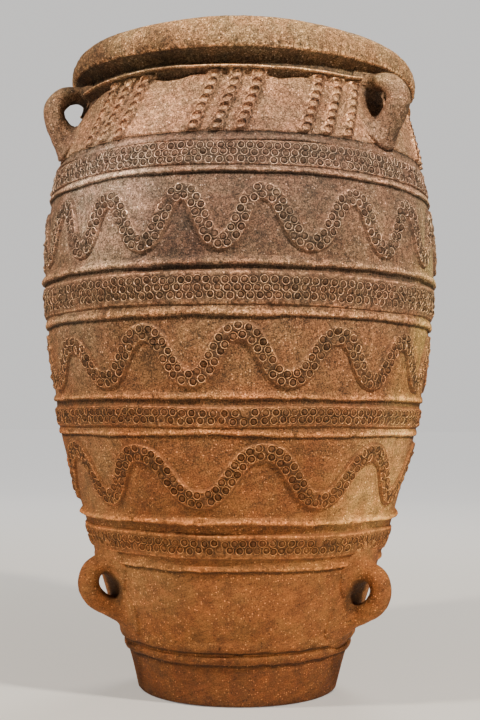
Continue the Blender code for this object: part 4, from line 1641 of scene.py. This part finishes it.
def clay_material(name, clay_tree, stamp_tree=None, cups=False, grit=1.0, stains=1.0, panel=1.0):
    """Fired clay with its own amounts of grit, stains and the panel's paleness, and with the
    marks of stamped rings or pressed cups."""
    jar = bpy.context.scene.storage_jar
    material = bpy.data.materials.new(name)
    material.use_nodes = True
    nodes = Nodes(material.node_tree)
    relief = nodes.node("Attribute", attribute_name="relief").outputs["Fac"]
    clay = nodes.node("Group", node_tree=clay_tree)
    amounts = {"Patches": jar.patches, "Grit": jar.grit * grit, "Stains": stains, "Panel": panel}
    amounts["Relief"] = nodes.times(relief, RING_RELIEF) if stamp_tree else relief
    for label, amount in amounts.items():
        nodes.feed(clay.inputs[label], amount)
    colour = clay.outputs["Color"]
    height = clay.outputs["Height"]
    if cups:
        colour = cup_marks(nodes, colour)
    if stamp_tree:
        ring = nodes.node("Group", node_tree=stamp_tree).outputs
        colour = ring_marks(nodes, ring, colour)
        height = nodes.plus(height, ring["Height"])
    bump = nodes.node("Bump", Strength=1.0, Distance=1.0, Height=height)
    shader = material.node_tree.nodes["Principled BSDF"]
    shader.inputs["Specular IOR Level"].default_value = CLAY_SHINE
    nodes.feed(shader.inputs["Base Color"], colour)
    nodes.feed(shader.inputs["Roughness"], clay.outputs["Roughness"])
    nodes.feed(shader.inputs["Normal"], bump.outputs["Normal"])
    nodes.arrange()


def finish(name):
    """One of the four finishes: plain clay, clay with stamped rings, clay with pressed cups and
    the handles' clay. All are made the first time that one is asked for."""
    if name not in bpy.data.materials:
        clay = clay_group()
        clay_material("plain_clay", clay)
        clay_material("stamped_clay", clay, stamp_tree=stamp_group(), grit=0.7, stains=0.35)
        clay_material("cupped_clay", clay, cups=True)
        clay_material("handle_clay", clay, panel=0.30)
    return bpy.data.materials[name]


class StorageJarSizes(bpy.types.PropertyGroup):
    """Sizes and finish that a user may change."""

    columns: bpy.props.IntProperty(
        name="Columns", description="Columns of the body's net round the jar", default=318, min=48
    )
    unevenness: bpy.props.FloatProperty(
        name="Unevenness",
        description="How far the hand-made wall strays from round",
        default=0.0012,
        unit="LENGTH",
    )
    ridge_wobble: bpy.props.FloatProperty(
        name="Ridge wobble", description="How far a ridge strays up and down", default=0.0011, unit="LENGTH"
    )
    chipping: bpy.props.FloatProperty(
        name="Chipping",
        description="How much of a chipped spot is gone",
        default=0.75,
        subtype="FACTOR",
        min=0,
        max=1,
    )
    stamp_radius: bpy.props.FloatProperty(
        name="Stamp radius", description="Outer radius of a stamped ring", default=0.0069, unit="LENGTH"
    )
    stamp_depth: bpy.props.FloatProperty(
        name="Stamp depth", description="Depth of a stamped ring's groove", default=0.0024, unit="LENGTH"
    )
    stamp_pitch: bpy.props.FloatProperty(
        name="Stamp pitch", description="Distance between stamps in a row", default=0.0155, unit="LENGTH"
    )
    row_pitch: bpy.props.FloatProperty(
        name="Row pitch", description="Distance between rows of stamps", default=0.0119, unit="LENGTH"
    )
    upper_blend: bpy.props.FloatProperty(
        name="Upper handle blend",
        description="Width of the fillet where an upper handle meets the wall",
        default=0.021,
        unit="LENGTH",
    )
    lower_blend: bpy.props.FloatProperty(
        name="Lower handle blend",
        description="Width of the fillet where a lower handle meets the wall",
        default=0.021,
        unit="LENGTH",
    )
    patches: bpy.props.FloatProperty(
        name="Patches", description="Strength of the cloudy patches in the clay", default=1.0, min=0, max=2
    )
    grit: bpy.props.FloatProperty(
        name="Grit", description="Strength of the specks and pits in the clay", default=1.0, min=0, max=2
    )
    floor_colour: bpy.props.FloatVectorProperty(
        name="Floor colour",
        description="Colour of the plain floor",
        default=(0.55, 0.54, 0.53),
        size=3,
        subtype="COLOR",
    )


class STORAGEJAR_OT_body(bpy.types.Operator):
    """Makes the hollow body with its ridges, collar and rim"""

    bl_idname = "storage_jar.body"
    bl_label = "Body"

    def execute(self, context):
        piece = body_mesh().finish("jar_body", finish("plain_clay"))
        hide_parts("storage_jar")
        return {"FINISHED"}


class STORAGEJAR_OT_bands(bpy.types.Operator):
    """Makes the four level bands of stamped rings"""

    bl_idname = "storage_jar.bands"
    bl_label = "Stamped bands"

    def execute(self, context):
        for name in BANDS:
            band_piece(name, finish("stamped_clay"))
        return {"FINISHED"}


class STORAGEJAR_OT_waves(bpy.types.Operator):
    """Makes the three wavy strips of stamped rings"""

    bl_idname = "storage_jar.waves"
    bl_label = "Wavy strips"

    def execute(self, context):
        for name in WAVES:
            wave_piece(name, finish("stamped_clay"))
        return {"FINISHED"}


class STORAGEJAR_OT_strips(bpy.types.Operator):
    """Makes the slanted strips with pressed cups on the shoulder"""

    bl_idname = "storage_jar.strips"
    bl_label = "Slanted strips"

    def execute(self, context):
        slanted_strips(finish("cupped_clay"))
        return {"FINISHED"}


class STORAGEJAR_OT_handles(bpy.types.Operator):
    """Makes the six loop handles, three high and three low"""

    bl_idname = "storage_jar.handles"
    bl_label = "Handles"

    def execute(self, context):
        jar = context.scene.storage_jar
        for tier, places, line, blend, spread in (
            ("upper_handle", UPPER_PLACES, UPPER_LINE, jar.upper_blend, UPPER_SPREAD),
            ("lower_handle", LOWER_PLACES, LOWER_LINE, jar.lower_blend, LOWER_SPREAD),
        ):
            for number, (azimuth, drop) in enumerate(places, 1):
                name = f"{tier}_{number}"
                handle_piece(name, azimuth, drop, line, blend, spread, finish("handle_clay"))
        return {"FINISHED"}


FLOOR_REACH = 60.0
ROOM_COLOUR = (0.86, 0.84, 0.82)
# How bright the room is: as it lights the jar, and as the camera sees it
ROOM_LIGHT = 0.065
ROOM_SEEN = 0.98
# Lamps: name, place, what it aims at, width, watts, colour
LAMPS = (
    ("key", (1.95, -2.25, 3.35), (0.05, 0.0, 0.60), 0.30, 212.0, (1.0, 0.90, 0.75)),
    ("second_key", (-2.15, -1.62, 3.35), (-0.05, 0.0, 0.60), 0.30, 136.0, (1.0, 0.90, 0.75)),
    ("front", (0.3, -3.9, 1.3), (0.0, 0.0, 0.40), 1.4, 8.0, (1.0, 0.84, 0.62)),
    ("back", (0.6, 2.8, 2.9), (0.0, 0.0, 0.6), 1.2, 70.0, (1.0, 0.93, 0.82)),
)
CAMERA_PLACE = (0.0, -2.118, 0.4759)
CAMERA_YAW = 0.00084
CAMERA_PITCH = 0.05380
CAMERA_ROLL = 0.00587
CAMERA_LENS = 57.5


def stand_at(thing, place, side, up, back):
    """Puts a lamp or camera at a place, with its own axes along three directions."""
    rows = [[side[k], up[k], back[k], place[k]] for k in range(3)]
    thing.matrix_world = Matrix(rows + [[0, 0, 0, 1]])
    bpy.context.scene.collection.objects.link(thing)


def make_floor(colour):
    """The pale floor, which glows for the camera alone, more so far away."""
    far = FLOOR_REACH
    mesh = bpy.data.meshes.new("floor")
    mesh.from_pydata([(-far, -far, 0), (far, -far, 0), (far, far, 0), (-far, far, 0)], [], [(0, 1, 2, 3)])
    floor = bpy.data.objects.new("floor", mesh)
    bpy.context.scene.collection.objects.link(floor)
    paint = bpy.data.materials.new("floor_paint")
    paint.use_nodes = True
    nodes = Nodes(paint.node_tree)
    shader = paint.node_tree.nodes["Principled BSDF"]
    nodes.feed(shader.inputs["Base Color"], colour)
    nodes.feed(shader.inputs["Roughness"], 0.9)
    nodes.feed(shader.inputs["Emission Color"], ROOM_COLOUR)
    glow = nodes.mask("floor glow", nodes.vector("LENGTH", nodes.own_place()))
    seen = nodes.node("LightPath").outputs["Is Camera Ray"]
    nodes.feed(shader.inputs["Emission Strength"], nodes.times(glow, seen))
    nodes.arrange()
    mesh.materials.append(paint)


def make_room():
    """An even pale room, dim as a light and bright to the camera."""
    world = bpy.data.worlds.new("room")
    world.use_nodes = True
    nodes = Nodes(world.node_tree)
    sky = world.node_tree.nodes["Background"]
    seen = nodes.node("LightPath").outputs["Is Camera Ray"]
    level = nodes.node("MapRange", Value=seen)
    nodes.feed(level.inputs["To Min"], ROOM_LIGHT)
    nodes.feed(level.inputs["To Max"], ROOM_SEEN)
    nodes.feed(sky.inputs["Color"], ROOM_COLOUR)
    nodes.feed(sky.inputs["Strength"], level.outputs[0])
    nodes.arrange()
    bpy.context.scene.world = world


def make_lamp(name, place, aim, width, power, colour):
    """A round lamp that aims at a point."""
    lamp = bpy.data.lights.new(name, "AREA")
    lamp.shape = "DISK"
    lamp.size = width
    lamp.energy = power
    lamp.color = colour
    back = np.array(place) - np.array(aim)
    back /= np.linalg.norm(back)
    side = np.cross([0.0, 0.0, 1.0], back)
    side /= np.linalg.norm(side)
    stand_at(bpy.data.objects.new(name, lamp), place, side, np.cross(back, side), back)


def make_camera():
    """The camera at the photograph's place, turned by its yaw and pitch and then rolled."""
    eye = bpy.data.cameras.new("camera")
    eye.sensor_width = 36.0
    eye.lens = CAMERA_LENS
    right = np.array([np.cos(CAMERA_YAW), -np.sin(CAMERA_YAW), 0.0])
    level = np.cos(CAMERA_PITCH)
    ahead = np.array([level * np.sin(CAMERA_YAW), level * np.cos(CAMERA_YAW), np.sin(CAMERA_PITCH)])
    up = np.cross(right, ahead)
    side = np.cos(CAMERA_ROLL) * right + np.sin(CAMERA_ROLL) * up
    top = np.cos(CAMERA_ROLL) * up - np.sin(CAMERA_ROLL) * right
    camera = bpy.data.objects.new("camera", eye)
    stand_at(camera, CAMERA_PLACE, side, top, -ahead)
    bpy.context.scene.camera = camera


class STORAGEJAR_OT_stage(bpy.types.Operator):
    """Makes the pale floor, the soft lights and the camera"""

    bl_idname = "storage_jar.stage"
    bl_label = "Stage"

    def execute(self, context):
        make_floor(tuple(context.scene.storage_jar.floor_colour))
        make_room()
        for lamp in LAMPS:
            make_lamp(*lamp)
        make_camera()
        return {"FINISHED"}


class STORAGEJAR_PT_panel(bpy.types.Panel):
    """Lists the jar's sizes and the operators that make its pieces"""

    bl_idname = "STORAGEJAR_PT_panel"
    bl_label = "Storage jar"
    bl_space_type = "VIEW_3D"
    bl_region_type = "UI"
    bl_category = "Jar"

    def draw(self, context):
        column = self.layout.column()
        for name in StorageJarSizes.__annotations__:
            column.prop(context.scene.storage_jar, name)
        for operator in OPERATORS:
            column.operator(operator.bl_idname)


OPERATORS = (
    STORAGEJAR_OT_body,
    STORAGEJAR_OT_bands,
    STORAGEJAR_OT_waves,
    STORAGEJAR_OT_strips,
    STORAGEJAR_OT_handles,
    STORAGEJAR_OT_stage,
)
CLASSES = (StorageJarSizes, *OPERATORS, STORAGEJAR_PT_panel)


def register():
    """Makes the sizes, operators and panel known to Blender."""
    for one in CLASSES:
        bpy.utils.register_class(one)
    bpy.types.Scene.storage_jar = bpy.props.PointerProperty(type=StorageJarSizes)


def unregister():
    """Takes the sizes, operators and panel out again."""
    del bpy.types.Scene.storage_jar
    for one in reversed(CLASSES):
        bpy.utils.unregister_class(one)


def main():
    """Makes every piece and the stage."""
    register()
    bpy.ops.storage_jar.body()
    bpy.ops.storage_jar.bands()
    bpy.ops.storage_jar.waves()
    bpy.ops.storage_jar.strips()
    bpy.ops.storage_jar.handles()
    bpy.ops.storage_jar.stage()


if __name__ == "__main__":
    main()
